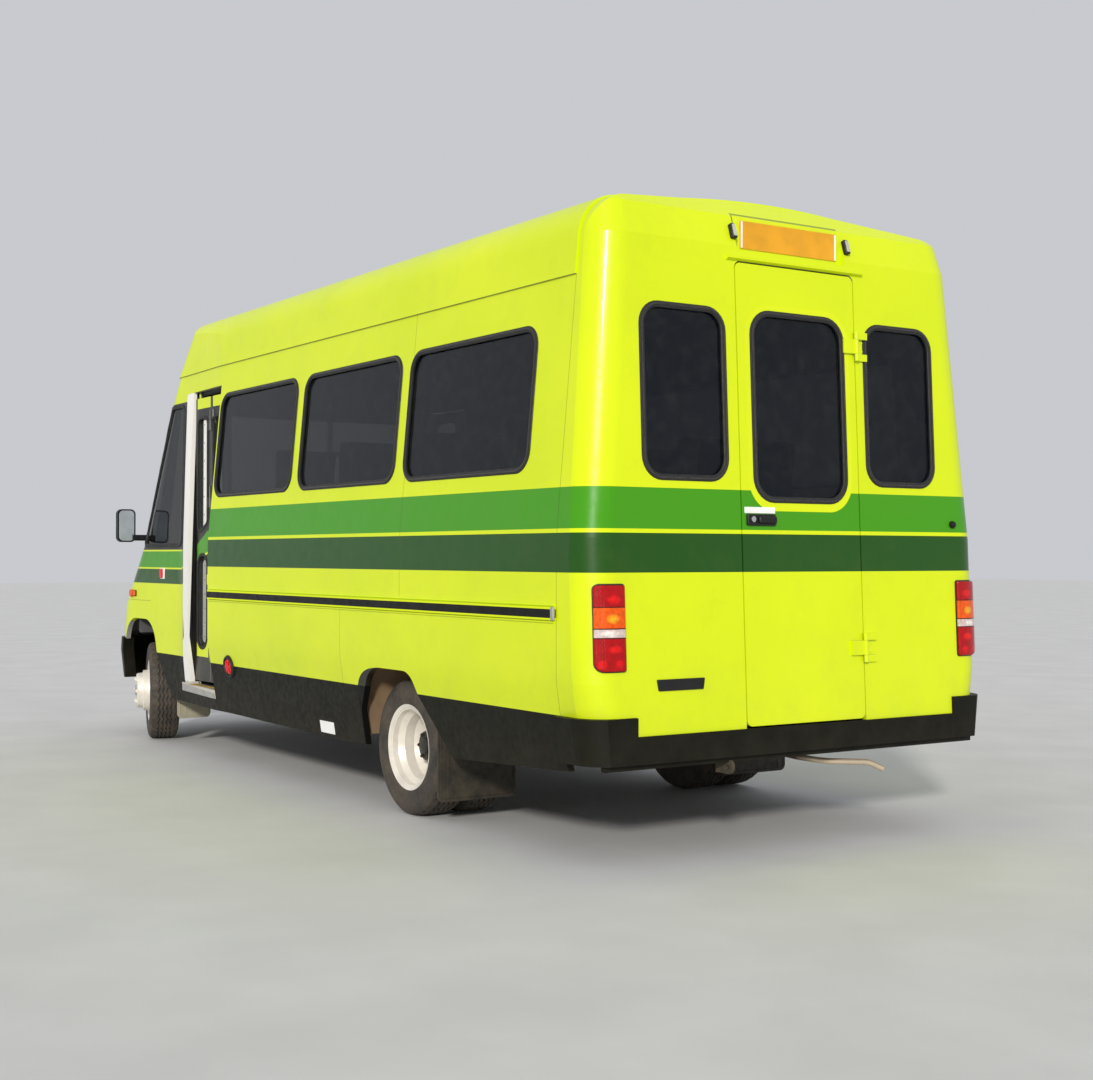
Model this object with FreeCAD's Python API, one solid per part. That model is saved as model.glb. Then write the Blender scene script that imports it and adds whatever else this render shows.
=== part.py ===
"""A sixteen-seat coach-built minibus on a long-wheelbase van chassis, in millimetres.

X points forward, Y to the left and Z up. The origin is on the ground, under the middle of the
overall length. The passenger door is on the left, behind the front wheel, and folds inwards in two
leaves. The emergency door is in the middle of the back. The front wheels are parked turned right.
"""
import FreeCAD
import Part
import math
import os

os.makedirs("parts", exist_ok=True)
V = FreeCAD.Vector

# Overall places along the vehicle.
OVERALL_LENGTH = 6000.0
WHEELBASE = 3570.0
REAR_OVERHANG = 1600.0
BUMPER_STAND_OFF = 33.0
REAR_X = -OVERALL_LENGTH / 2
FRONT_X = OVERALL_LENGTH / 2
REAR_AXLE_X = REAR_X + REAR_OVERHANG
FRONT_AXLE_X = REAR_AXLE_X + WHEELBASE
TAIL_X = REAR_X + BUMPER_STAND_OFF
CAP_SEAM_X = TAIL_X + 200.0
SALOON_FRONT_X = 800.0
DOOR_FRONT_X = 1290.0
PILLAR_FRONT_X = 1410.0
SILL_FRONT_X = 1470.0
CAB_WIDE_X = 1500.0
BUMPER_REAR_X = 2515.0
BUMPER_Z = (377.0, 640.0)

# Heights of the body's cross-section.
SKIRT_BOTTOM_Z = 330.0
SKIRT_LOW_Z = 275.0
SKIRT_TOP_Z = 572.0
TUCK_TOP_Z = 700.0
WAIST_Z = 1250.0
GUTTER_Z = 2265.0
ROOF_Z = 2635.0
FLOOR_TOP_Z = 700.0
FLOOR_THICKNESS = 20.0

# Half widths of the body's cross-section.
SKIRT_HALF = 1007.0
BODY_HALF = 1065.0
GUTTER_HALF = 973.0
CAB_HALF = 968.0
CAB_TOP_HALF = 945.0
NOSE_BOW_R = 2000.0
WALL = 30.0
ROOF_LIP = 8.0
PANEL_GAP = 0.3
DOOR_GAP = 6.0
ROOF_CORNER_R = 180.0
ROOF_SLOPE = 0.09
ROOF_CROWN_R = 4400.0
TAIL_CORNER_R = 130.0
TAIL_RAKE = 0.0432

# Wheels and axles.
TYRE_R = 310.0
TYRE_WIDTH = 185.0
RIM_R = 195.0
BEAD_R = 178.0
FRONT_TRACK_HALF = 825.0
TWIN_OUTER_FACE = 970.0
TWIN_GAP = 25.0
TWIN_SPACING = TYRE_WIDTH + TWIN_GAP
TWIN_MID = TWIN_OUTER_FACE - TYRE_WIDTH - TWIN_GAP / 2
KINGPIN_HALF = 690.0
KINGPIN_R = 14.0
STUB_R = 22.0
RUNNING_CLEARANCE = 0.5
STEERING_ARM = 140.0
PARKED_STEER_DEG = -16.0

# Side windows: one pitch, the same pane each time.
WINDOW_PITCH = 1127.5
WINDOW_LENGTH = 1035.0
WINDOW_BOTTOM_Z = 1516.0
WINDOW_TOP_Z = 2090.0
WINDOW_FIRST_X = 249.5
WINDOW_COUNT = 3
WINDOW_CORNER_R = 85.0
GLASS = 6.0
RUBBER = 24.0

# Emergency door in the back.
REAR_DOOR_LEFT = 305.0
REAR_DOOR_RIGHT = -333.0
REAR_DOOR_BOTTOM_Z = 507.0
REAR_DOOR_TOP_Z = 2355.0
REAR_DOOR_THICKNESS = 34.0
REAR_HINGE_Z = (2060.0, 800.0)
HINGE_STAND_OFF = 13.0
HINGE_PIN_R = 4.0
HINGE_CLEARANCE = 0.1

# Folding passenger door.
LEAF_OUTER_Y = 950.0
LEAF_THICKNESS = 30.0
LEAF_BOTTOM_Z = 440.0
LEAF_TOP_Z = 2110.0
LEAF_PIVOT_INSET = 38.0
LEAF_HINGE_STAND_OFF = 8.0
STEP_Z = 415.0
SILL_Z = (365.0, 415.0)
HEADER_Z = 2150.0
STEPWELL_Y = 650.0
STEP_INNER_Y = 500.0

# Chassis.
RAIL_Y = 380.0
RAIL_WIDTH = 70.0
RAIL_BOTTOM_Z = 430.0
RAIL_TOP_Z = 560.0
BULKHEAD_X = 2295.0
TOW_EYE_X = 2960.0
TOW_EYE_Z = 350.0
TOW_EYE_R = 13.0
TOW_EYE_LENGTH = 18.0


def at(plane, level, a, b):
    """A point from two coordinates in a plane and the plane's level."""
    if plane == "xy":
        return V(a, b, level)
    if plane == "xz":
        return V(a, level, b)
    return V(level, a, b)


def ring(corners, plane, level):
    """A closed wire through corners (a, b, radius), each rounded by its radius."""
    points = [V(a, b, 0) for a, b, _ in corners]
    count = len(corners)
    ends = []
    for i in range(count):
        here = points[i]
        back = (points[i - 1] - here).normalize()
        on = (points[(i + 1) % count] - here).normalize()
        radius = corners[i][2]
        if radius <= 0:
            ends.append((here, None, here))
            continue
        half = back.getAngle(on) / 2
        reach = radius / math.tan(half)
        middle = (back + on).normalize() * (radius / math.sin(half) - radius)
        ends.append((here + back * reach, here + middle, here + on * reach))
    edges = []
    for i in range(count):
        start, middle, end = ends[i]
        if middle is not None:
            edges.append(
                Part.Arc(
                    at(plane, level, start.x, start.y),
                    at(plane, level, middle.x, middle.y),
                    at(plane, level, end.x, end.y),
                ).toShape()
            )
        after = ends[(i + 1) % count][0]
        edges.append(
            Part.LineSegment(
                at(plane, level, end.x, end.y), at(plane, level, after.x, after.y)
            ).toShape()
        )
    return Part.Wire(edges)


def prism(corners, plane, start, end):
    """The rounded outline in a plane, extruded from one level to another."""
    face = Part.Face(ring(corners, plane, start))
    return face.extrude(at(plane, end - start, 0, 0))


def box(x, y, z):
    """A box between pairs of X, Y and Z."""
    return Part.makeBox(
        x[1] - x[0], y[1] - y[0], z[1] - z[0], V(x[0], y[0], z[0])
    )


def rounded_box(plane, a, b, radius, start, end):
    """A bar of rounded rectangular outline."""
    corners = [(a[0], b[0], radius), (a[1], b[0], radius), (a[1], b[1], radius), (a[0], b[1], radius)]
    return prism(corners, plane, start, end)


def rod(start, end, radius):
    """A round bar between two points."""
    along = end - start
    return Part.makeCylinder(radius, along.Length, start, along)


def fused(shapes):
    """Shapes joined into one, without the seams between them."""
    whole = shapes[0]
    if len(shapes) > 1:
        whole = whole.fuse(shapes[1:])
    return whole.removeSplitter()


def mirrored(shape):
    """The same shape on the other side of the vehicle."""
    return shape.mirror(V(0, 0, 0), V(0, 1, 0))


def both_sides(shape):
    """A shape and its mirror image, as two solids."""
    return [shape, mirrored(shape)]


def save(name, shapes):
    """Writes one node from its solids."""
    if not isinstance(shapes, list):
        shapes = [shapes]
    solids = [solid for shape in shapes for solid in shape.Solids]
    shape = solids[0] if len(solids) == 1 else Part.makeCompound(solids)
    shape.exportStep("parts/" + name + ".step")
    print(name, len(solids), round(shape.Volume / 1e6, 2), shape.isValid(), flush=True)


def side_half(z):
    """Half width of the saloon's side at a height."""
    if z < TUCK_TOP_Z:
        share = (z - SKIRT_BOTTOM_Z) / (TUCK_TOP_Z - SKIRT_BOTTOM_Z)
        return SKIRT_HALF + share * (BODY_HALF - SKIRT_HALF)
    if z < WAIST_Z:
        return BODY_HALF
    share = (z - WAIST_Z) / (GUTTER_Z - WAIST_Z)
    return BODY_HALF + share * (GUTTER_HALF - BODY_HALF)


def section(inset, bottom=SKIRT_BOTTOM_Z):
    """Corners of the saloon's cross-section, drawn in by an inset all round but at the bottom."""
    apex = ROOF_Z + ROOF_CROWN_R * (1 / math.cos(math.atan(ROOF_SLOPE)) - 1)
    lean = (BODY_HALF - GUTTER_HALF) / (GUTTER_Z - WAIST_Z)
    corner_y = (BODY_HALF - lean * (apex - WAIST_Z)) / (1 - lean * ROOF_SLOPE)
    corner_z = apex - ROOF_SLOPE * corner_y
    left = [
        (side_half(bottom) - inset, bottom, 0),
        (BODY_HALF - inset, TUCK_TOP_Z, 500.0),
        (BODY_HALF - inset, WAIST_Z, 1500.0),
        (corner_y - inset, corner_z - inset, ROOF_CORNER_R - inset),
    ]
    right = [(-y, z, r) for y, z, r in reversed(left)]
    return left + [(0, apex - inset, ROOF_CROWN_R - inset)] + right


def tail_x(z):
    """The raked back face's place at a height."""
    return TAIL_X + TAIL_RAKE * (z - 1000.0)


def tail_form(inset, front=CAP_SEAM_X):
    """The saloon's rounded rear end as a solid, back from the seam of the moulded cap."""
    # Columns: height, set forward of the raked face there.
    levels = [(200.0, 0), (TUCK_TOP_Z, 0), (WAIST_Z, 0), (2420.0, 0), (2550.0, 35.0), (2680.0, 165.0)]
    rings = []
    margin = 1.5
    for z, forward in levels:
        half = side_half(z) + margin - inset
        back = tail_x(z) + forward + inset
        round_r = TAIL_CORNER_R - inset
        corners = [
            (front, -half, 0),
            (front, half, 0),
            (back, half, round_r),
            (back, -half, round_r),
        ]
        rings.append(ring(corners, "xy", z))
    stack = Part.makeLoft(rings, True, True)
    bar = prism(section(inset, SKIRT_BOTTOM_Z - inset), "yz", TAIL_X - 100, front)
    return bar.common(stack)


def nose_form(inset, back=SALOON_FRONT_X, top=2700.0):
    """The cab and bonnet as a solid: plan outlines stacked from the ground up to the roof."""
    # Columns: height, tip before rounding, how far the front bows, front corner radius, cab half width.
    levels = [
        (260.0, 2975.0, 230.0, 400.0, CAB_HALF - 25),
        (560.0, 3024.0, 249.0, 420.0, CAB_HALF),
        (TUCK_TOP_Z, 3004.0, 249.0, 420.0, CAB_HALF),
        (860.0, 2958.0, 228.0, 415.0, CAB_HALF),
        (WAIST_Z, 2399.0, 94.0, 250.0, CAB_HALF),
        (2110.0, 1885.0, 85.0, 200.0, CAB_TOP_HALF + 8),
        (GUTTER_Z, 1785.0, 85.0, 200.0, CAB_TOP_HALF),
        (2420.0, 1690.0, 90.0, 240.0, CAB_TOP_HALF - 10),
        (2520.0, 1600.0, 90.0, 240.0, CAB_TOP_HALF - 15),
        (2600.0, 1480.0, 90.0, 240.0, CAB_TOP_HALF - 20),
        (2680.0, 1330.0, 90.0, 240.0, CAB_TOP_HALF - 25),
    ]
    rings = []
    for z, nose, bow, corner_r, cab_half in levels:
        if z > top:
            break
        wide = side_half(z) - inset
        narrow = cab_half - inset
        tip = nose - inset
        taper_end = min(CAB_WIDE_X, nose - 330)
        left = [
            (back, wide, 0),
            (SALOON_FRONT_X + 40, wide, 500.0),
            (taper_end, narrow, 500.0),
            (tip - bow, narrow, corner_r - inset),
        ]
        right = [(x, -y, r) for x, y, r in reversed(left)]
        rings.append(ring(left + [(tip, 0, NOSE_BOW_R)] + right, "xy", z))
    return Part.makeLoft(rings, True, True)


def window_outline(centre_x, margin):
    """A saloon window seen from the side; the margin grows or shrinks it."""
    half = WINDOW_LENGTH / 2 + margin
    low, high = WINDOW_BOTTOM_Z - margin, WINDOW_TOP_Z + margin
    r = WINDOW_CORNER_R + margin
    x0, x1 = centre_x - half, centre_x + half
    return [(x0, low, r), (x1, low, r), (x1, high, r), (x0, high, r)]


def window_centres():
    """Places of the saloon windows, front to back."""
    return [WINDOW_FIRST_X - i * WINDOW_PITCH for i in range(WINDOW_COUNT)]


# Windows of the back, as columns: left edge, right edge, bottom, top, corner radius.
CAP_WINDOWS = [(783.0, 374.0, 1472.0, 2155.0, 85.0), (-391.0, -783.0, 1472.0, 2155.0, 85.0)]
DOOR_WINDOW = (230.0, -265.0, 1395.0, 2163.0, 95.0)


def rear_window(row, margin, start, end):
    """A window of the back as a bar along X."""
    left, right, low, high, r = row
    return rounded_box(
        "yz",
        (right - margin, left + margin),
        (low - margin, high + margin),
        r + margin,
        start,
        end,
    )


REAR_ARCH = [
    (-1985.0, 200.0, 0),
    (-1640.0, 565.0, 80.0),
    (-1580.0, 668.0, 100.0),
    (-1190.0, 668.0, 170.0),
    (-1055.0, 458.0, 120.0),
    (-1055.0, 200.0, 0),
]
FRONT_ARCH = [
    (1590.0, 200.0, 0),
    (1900.0, 570.0, 100.0),
    (1965.0, 775.0, 210.0),
    (2435.0, 775.0, 210.0),
    (BUMPER_REAR_X, 600.0, 100.0),
    (BUMPER_REAR_X, 200.0, 0),
]

# The lower edge of the skirts, from the tail to the nose.
SKIRT_EDGE = [
    (REAR_X, 365.0, 0),
    (-2790.0, 358.0, 2000.0),
    (-1860.0, 312.0, 2000.0),
    (-870.0, 285.0, 2500.0),
    (590.0, 300.0, 2500.0),
    (1500.0, 296.0, 2500.0),
    (FRONT_X, 296.0, 0),
]

outer_bar = prism(section(0, SKIRT_LOW_Z), "yz", CAP_SEAM_X + PANEL_GAP, SALOON_FRONT_X)
inner_bar = prism(section(WALL, SKIRT_LOW_Z - WALL), "yz", REAR_X, FRONT_X)
side_wall = outer_bar.cut(inner_bar)
cap_outer = tail_form(0)
cap_inner = tail_form(WALL, CAP_SEAM_X + 10)
cab_outer = nose_form(0, SALOON_FRONT_X + PANEL_GAP)
cab_inner = nose_form(WALL, SALOON_FRONT_X - 100)
cab_wall = cab_outer.cut(cab_inner)


def make_side_panels():
    """Saloon sides from the skirt up to the gutter, with their windows and wheel arch."""
    upper = side_wall.common(box((REAR_X, FRONT_X), (0, 1200), (SKIRT_TOP_Z, GUTTER_Z)))
    for x in window_centres():
        upper = upper.cut(prism(window_outline(x, 0), "xz", 800, 1200))
    upper = upper.cut(prism(REAR_ARCH, "xz", 800, 1200))
    save("side_panels", both_sides(upper))


def make_skirts():
    """Black lower panels between the arches, the tail and the cab sill."""
    under = prism([(REAR_X, 0, 0)] + SKIRT_EDGE + [(FRONT_X, 0, 0)], "xz", 0, 1200)
    low = box((REAR_X, FRONT_X), (0, 1200), (SKIRT_LOW_Z, SKIRT_TOP_Z - PANEL_GAP)).cut(under)
    saloon = side_wall.common(low).cut(prism(REAR_ARCH, "xz", 700, 1200))
    sill_band = low.common(box((SALOON_FRONT_X, FRONT_AXLE_X), (0, 1200), (0, SKIRT_TOP_Z)))
    cab_sill = cab_wall.common(sill_band).cut(prism(FRONT_ARCH, "xz", 700, 1200))
    doorway = box((SALOON_FRONT_X - 50, PILLAR_FRONT_X + PANEL_GAP), (700, 1200), (STEP_Z, SKIRT_TOP_Z))
    strip = box((SALOON_FRONT_X - 50, SILL_FRONT_X + PANEL_GAP), (700, 1200), SILL_Z)
    save("skirts", [saloon, cab_sill.cut(doorway).cut(strip), mirrored(saloon), mirrored(cab_sill)])


def make_roof():
    """The roof moulding from the cap's seam to the dome over the windscreen, with its drip lip."""
    above = box((REAR_X, FRONT_X), (-1200, 1200), (GUTTER_Z + PANEL_GAP, ROOF_Z + 100))
    start = CAP_SEAM_X + PANEL_GAP
    outer = prism(section(-ROOF_LIP), "yz", start, SALOON_FRONT_X)
    front = prism(section(-ROOF_LIP), "yz", SALOON_FRONT_X, FRONT_X).common(
        nose_form(-ROOF_LIP, SALOON_FRONT_X)
    )
    inner = prism(section(WALL, SKIRT_BOTTOM_Z - WALL), "yz", REAR_X, SALOON_FRONT_X)
    inner_front = prism(section(WALL, SKIRT_BOTTOM_Z - WALL), "yz", SALOON_FRONT_X, FRONT_X)
    inner_front = inner_front.common(nose_form(WALL, SALOON_FRONT_X))
    whole = outer.cut(inner).fuse(front.cut(inner_front)).common(above)
    save("roof", whole.removeSplitter())


def rear_door_block(margin):
    """The emergency door's outline as a bar through the back."""
    return rounded_box(
        "yz",
        (REAR_DOOR_RIGHT - margin, REAR_DOOR_LEFT + margin),
        (REAR_DOOR_BOTTOM_Z - margin, REAR_DOOR_TOP_Z + margin),
        25.0 + margin,
        REAR_X - 100,
        CAP_SEAM_X,
    )


def make_rear_cap():
    """The moulded back with its rounded corners, two windows, plate recess and door opening."""
    cap = cap_outer.cut(cap_inner)
    upper = box((REAR_X - 100, CAP_SEAM_X), (-1200, 1200), (SKIRT_TOP_Z, ROOF_Z + 50))
    lower = box((REAR_X - 100, CAP_SEAM_X), (-850, 850), (500.0, SKIRT_TOP_Z + 1))
    cap = cap.common(upper.fuse(lower)).cut(rear_door_block(DOOR_GAP))
    cap = cap.cut(box((REAR_X, CAP_SEAM_X), (-339, 311), (490, 530)))
    for row in CAP_WINDOWS:
        cap = cap.cut(rear_window(row, 0, REAR_X - 100, CAP_SEAM_X))
    cap = cap.cut(box((REAR_X, -2885), (-290, 290), (2400, 2560)))
    cap = fused([cap] + [rear_hinge_fixed(z) for z in REAR_HINGE_Z])
    save("rear_cap", cap)
    save("rear_plate", box((-2890, -2885), (-260, 260), (2418, 2529)))


def make_rear_door():
    """Emergency door: a panel in the plane of the raked back, its glass and its handle."""
    skin = cap_outer.cut(tail_form(REAR_DOOR_THICKNESS, CAP_SEAM_X + 10))
    panel = skin.common(rear_door_block(0)).cut(rear_window(DOOR_WINDOW, 0, REAR_X - 100, CAP_SEAM_X))
    pieces = [panel]
    for z in REAR_HINGE_Z:
        x = tail_x(z)
        knuckle = rear_hinge_rod(z - 30, z + 30, 10.0)
        leaf = box((x - 14, x + 2), (REAR_DOOR_RIGHT - 3, REAR_DOOR_RIGHT + 70), (z - 30, z + 30))
        knuckle = knuckle.fuse(leaf.cut(cap_outer.common(rear_door_block(50))))
        pieces.append(knuckle.cut(rear_hinge_rod(z - 40, z + 40, HINGE_PIN_R + HINGE_CLEARANCE)))
    save("rear_door", fused(pieces))
    glass = tail_form(10).cut(tail_form(10 + GLASS, CAP_SEAM_X + 10))
    save("rear_door_glass", glass.common(rear_window(DOOR_WINDOW, 0, REAR_X - 100, CAP_SEAM_X)))
    rear_panes = [
        glass.common(rear_window(row, 0, REAR_X - 100, CAP_SEAM_X)) for row in CAP_WINDOWS
    ]
    x = tail_x(1330)
    plate = rounded_box("yz", (195, 275), (1290, 1360), 12.0, x - 10, x + 3)
    grip = rounded_box("yz", (150, 270), (1312, 1332), 9.0, x - 48, x - 32)
    neck = rod(V(x - 40, 252, 1322), V(x + 2, 252, 1322), 9.0)
    handle = fused([plate, neck, grip]).cut(panel)
    save("rear_door_handle", handle)
    return rear_panes


def rear_hinge_rod(low, high, radius):
    """A round bar along the emergency door's hinge line between two heights."""
    y = REAR_DOOR_RIGHT - 3.0
    return rod(V(tail_x(low) - HINGE_STAND_OFF, y, low), V(tail_x(high) - HINGE_STAND_OFF, y, high), radius)


def rear_hinge_fixed(z):
    """The half of an emergency door hinge that stays on the cap, with its pin."""
    x = tail_x(z)
    y = REAR_DOOR_RIGHT - 3.0
    pieces = [rear_hinge_rod(z - 60, z + 60, HINGE_PIN_R)]
    for low in (z - 60, z + 31):
        pieces.append(rear_hinge_rod(low, low + 29, 10.0))
        pieces.append(box((x - 14, x + 5), (y - 60, y), (low, low + 29)))
    return fused(pieces).cut(rear_door_block(0).common(cap_outer))


def side_panes():
    """Panes of one side of the saloon, set into the thickness of the wall."""
    shell = prism(section(10), "yz", REAR_X, SALOON_FRONT_X).cut(
        prism(section(10 + GLASS, SKIRT_BOTTOM_Z - 50), "yz", REAR_X, SALOON_FRONT_X)
    )
    return [shell.common(prism(window_outline(x, 0), "xz", 800, 1200)) for x in window_centres()]


# Openings of the cab, as corners seen from the side or the front.
CAB_WINDOW = [(1450.0, 1240.0, 50.0), (1450.0, 2090.0, 60.0), (1700.0, 2090.0, 60.0), (2205.0, 1240.0, 70.0)]
DRIVER_DOOR = [
    (1300.0, 590.0, 40.0),
    (1300.0, 2150.0, 60.0),
    (1735.0, 2150.0, 60.0),
    (2258.0, 1290.0, 60.0),
    (2258.0, 905.0, 60.0),
    (1850.0, 860.0, 200.0),
    (1730.0, 590.0, 60.0),
]
WINDSCREEN = [(-800.0, 1300.0, 80.0), (800.0, 1300.0, 80.0), (745.0, 2085.0, 90.0), (-745.0, 2085.0, 90.0)]
BONNET_HALF = 690.0
BONNET_LOW_Z = 865.0
BONNET_HIGH_Z = 1205.0
SCUTTLE_Z = 1235.0
BONNET_HINGE = (2335.0, 1212.0)
DRIVER_HINGE = (2265.0, -980.0)
DRIVER_HINGE_Z = (945.0, 1110.0)
GRILLE = ((-520.0, 520.0), (672.0, 822.0))
LAMP_Y = (560.0, 800.0)
LAMP_Z = (668.0, 826.0)


def shrunk(outline, margin):
    """The outline drawn in by a margin towards its inside."""
    face = Part.Face(ring(outline, "xz", 0))
    return face.makeOffset2D(-margin)


def make_cab():
    """Cab shell from the entrance to the nose, with its door, bonnet, window and lamp openings."""
    rear_band = box((SALOON_FRONT_X, 2500), (-1200, 1200), (SKIRT_TOP_Z, GUTTER_Z))
    front_band = box((2400, FRONT_X), (-1200, 1200), (BUMPER_Z[1] + PANEL_GAP, GUTTER_Z))
    shell = cab_wall.common(rear_band.fuse(front_band))
    shell = shell.cut(box((SALOON_FRONT_X - 50, PILLAR_FRONT_X + PANEL_GAP), (700, 1200), (0, HEADER_Z)))
    shell = shell.cut(prism(CAB_WINDOW, "xz", 800, 1200))
    shell = shell.cut(prism(DRIVER_DOOR, "xz", -1200, -800))
    shell = shell.cut(prism(WINDSCREEN, "yz", 1500, FRONT_X))
    shell = shell.cut(box((2000, FRONT_X), (-BONNET_HALF, BONNET_HALF), (BONNET_LOW_Z, SCUTTLE_Z)))
    shell = shell.cut(prism(FRONT_ARCH, "xz", -1200, 1200))
    shell = shell.cut(rounded_box("yz", GRILLE[0], GRILLE[1], 12.0, 2600, FRONT_X))
    for side in (1, -1):
        y = (min(side * LAMP_Y[0], side * LAMP_Y[1]), max(side * LAMP_Y[0], side * LAMP_Y[1]))
        shell = shell.cut(rounded_box("yz", y, LAMP_Z, 12.0, 2500, FRONT_X))
    save("cab_shell", fused([shell] + [driver_hinge_fixed(z) for z in DRIVER_HINGE_Z]))


def driver_hinge_fixed(z):
    """The half of a driver's door hinge that stays on the pillar, with its pin."""
    x, y = DRIVER_HINGE
    pieces = [rod(V(x, y, z - 50), V(x, y, z + 50), HINGE_PIN_R)]
    for low in (z - 50, z + 26):
        pieces.append(rod(V(x, y, low), V(x, y, low + 24), 9.0))
        pieces.append(box((x + 2, x + 40), (y, y + 75), (low, low + 24)))
    return fused(pieces).cut(cab_inner)


def make_fixed_glass(rear_panes):
    """Windscreen, and the panes of the sides and the back that don't open."""
    film = nose_form(10).cut(nose_form(10 + GLASS, SALOON_FRONT_X - 50))
    save("windscreen", film.common(prism(WINDSCREEN, "yz", 1500, FRONT_X)))
    cab_pane = film.common(prism(CAB_WINDOW, "xz", 800, 1200))
    panes = side_panes()
    save("body_glass", panes + [mirrored(pane) for pane in panes] + rear_panes + [cab_pane])
    return film


def make_driver_door(film):
    """Hinged door of the driver's side, with its pane and outside handle."""
    door = shrunk(DRIVER_DOOR, DOOR_GAP).extrude(V(0, 400, 0))
    door.translate(V(0, -1200, 0))
    panel = cab_wall.common(door).cut(prism(CAB_WINDOW, "xz", -1200, -800))
    pieces = [panel]
    x, y = DRIVER_HINGE
    for z in DRIVER_HINGE_Z:
        knuckle = rod(V(x, y, z - 25), V(x, y, z + 25), 9.0)
        knuckle = knuckle.fuse(box((x - 62, x - 4), (y, y + 8), (z - 25, z + 25)))
        knuckle = knuckle.fuse(box((x - 62, x - 24), (y + 4, y + 24), (z - 25, z + 25)))
        pieces.append(knuckle.cut(rod(V(x, y, z - 40), V(x, y, z + 40), HINGE_PIN_R + HINGE_CLEARANCE)))
    handle = rounded_box("xz", (1345, 1480), (1130, 1160), 12.0, -1020, -985)
    pieces.append(handle)
    save("driver_door", fused(pieces))
    save("driver_door_glass", film.common(prism(CAB_WINDOW, "xz", -1200, -800)))


def make_bonnet():
    """The sloping bonnet and the arms that carry it on the scuttle."""
    skin = nose_form(0).cut(nose_form(16, SALOON_FRONT_X - 50))
    panel = skin.common(
        box((2000, FRONT_X), (-BONNET_HALF + 5, BONNET_HALF - 5), (BONNET_LOW_Z + 5, BONNET_HIGH_Z))
    )
    x, z = BONNET_HINGE
    pieces = [panel]
    for y in (-560.0, 560.0):
        pieces.append(box((x - 8, 2430), (y - 6, y + 6), (1160, 1190)).common(nose_form(8)))
        pieces.append(rod(V(x, y - 6, z), V(x, y + 6, z), 14.0))
        pieces.append(box((x - 12, x + 12), (y - 6, y + 6), (1162, z)))
    save("bonnet", fused(pieces))


def make_nose_fittings():
    """Grille, headlamps, indicators and the front bumper."""
    band = nose_form(3).cut(nose_form(28, SALOON_FRONT_X - 50))
    grille = band.common(rounded_box("yz", GRILLE[0], GRILLE[1], 12.0, 2600, FRONT_X))
    slots = []
    z = GRILLE[1][0] + 14
    while z + 14 < GRILLE[1][1] - 6:
        for y in (-500.0, -162.0, 178.0):
            slots.append(box((2600, FRONT_X), (y, y + 322), (z, z + 12)))
        z += 22
    save("grille", grille.cut(Part.makeCompound(slots)))
    deep = nose_form(1).cut(nose_form(70, SALOON_FRONT_X - 50))
    lamp = deep.common(rounded_box("yz", LAMP_Y, LAMP_Z, 12.0, 2500, FRONT_X))
    save("headlamps", both_sides(lamp))
    proud = nose_form(-8).cut(nose_form(0))
    turn = proud.common(rounded_box("yz", (812, 985), (668, 826), 12.0, 2680, FRONT_X))
    spot = Part.makeCylinder(24, 30, V(2353, CAB_HALF - 12, 935), V(0, 1, 0)).cut(nose_form(0))
    save("front_indicators", both_sides(turn) + both_sides(spot.Solids[0]))
    face = nose_form(-12)
    face.translate(V(29, 0, 0))
    bar = face.cut(nose_form(55, SALOON_FRONT_X - 50))
    bar = bar.common(box((BUMPER_REAR_X, FRONT_X), (-1200, 1200), BUMPER_Z))
    save("front_bumper", bar)


def make_rear_fittings():
    """Rear bumper, tail lamps and the moulded number plate lamp."""
    outer = tail_form(-BUMPER_STAND_OFF, CAP_SEAM_X)
    hollow = tail_form(WALL, CAP_SEAM_X + 10)
    bar = outer.cut(hollow).common(box((REAR_X, CAP_SEAM_X), (-1200, 1200), (395, 500)))
    horns = outer.cut(hollow).common(box((REAR_X, CAP_SEAM_X), (-1200, 1200), (499, SKIRT_TOP_Z - PANEL_GAP)))
    horns = horns.cut(box((REAR_X, CAP_SEAM_X), (-850.3, 850.3), (400, 600)))
    save("rear_bumper", fused([bar, horns]))
    lens = tail_form(-14).cut(tail_form(0, CAP_SEAM_X + 10))
    lens = lens.common(rounded_box("yz", (900, 1100), (746, 1072), 10.0, REAR_X - 20, -2885))
    save("tail_lamps", both_sides(lens))


def make_rub_rails():
    """The bar along each side at the widest height."""
    rail = prism(section(-14), "yz", -2761, 772).cut(inner_bar)
    rail = rail.cut(prism(section(0), "yz", REAR_X, FRONT_X))
    rail = rail.common(box((REAR_X, FRONT_X), (0, 1200), (935, 985)))
    save("rub_rails", both_sides(rail))


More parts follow.
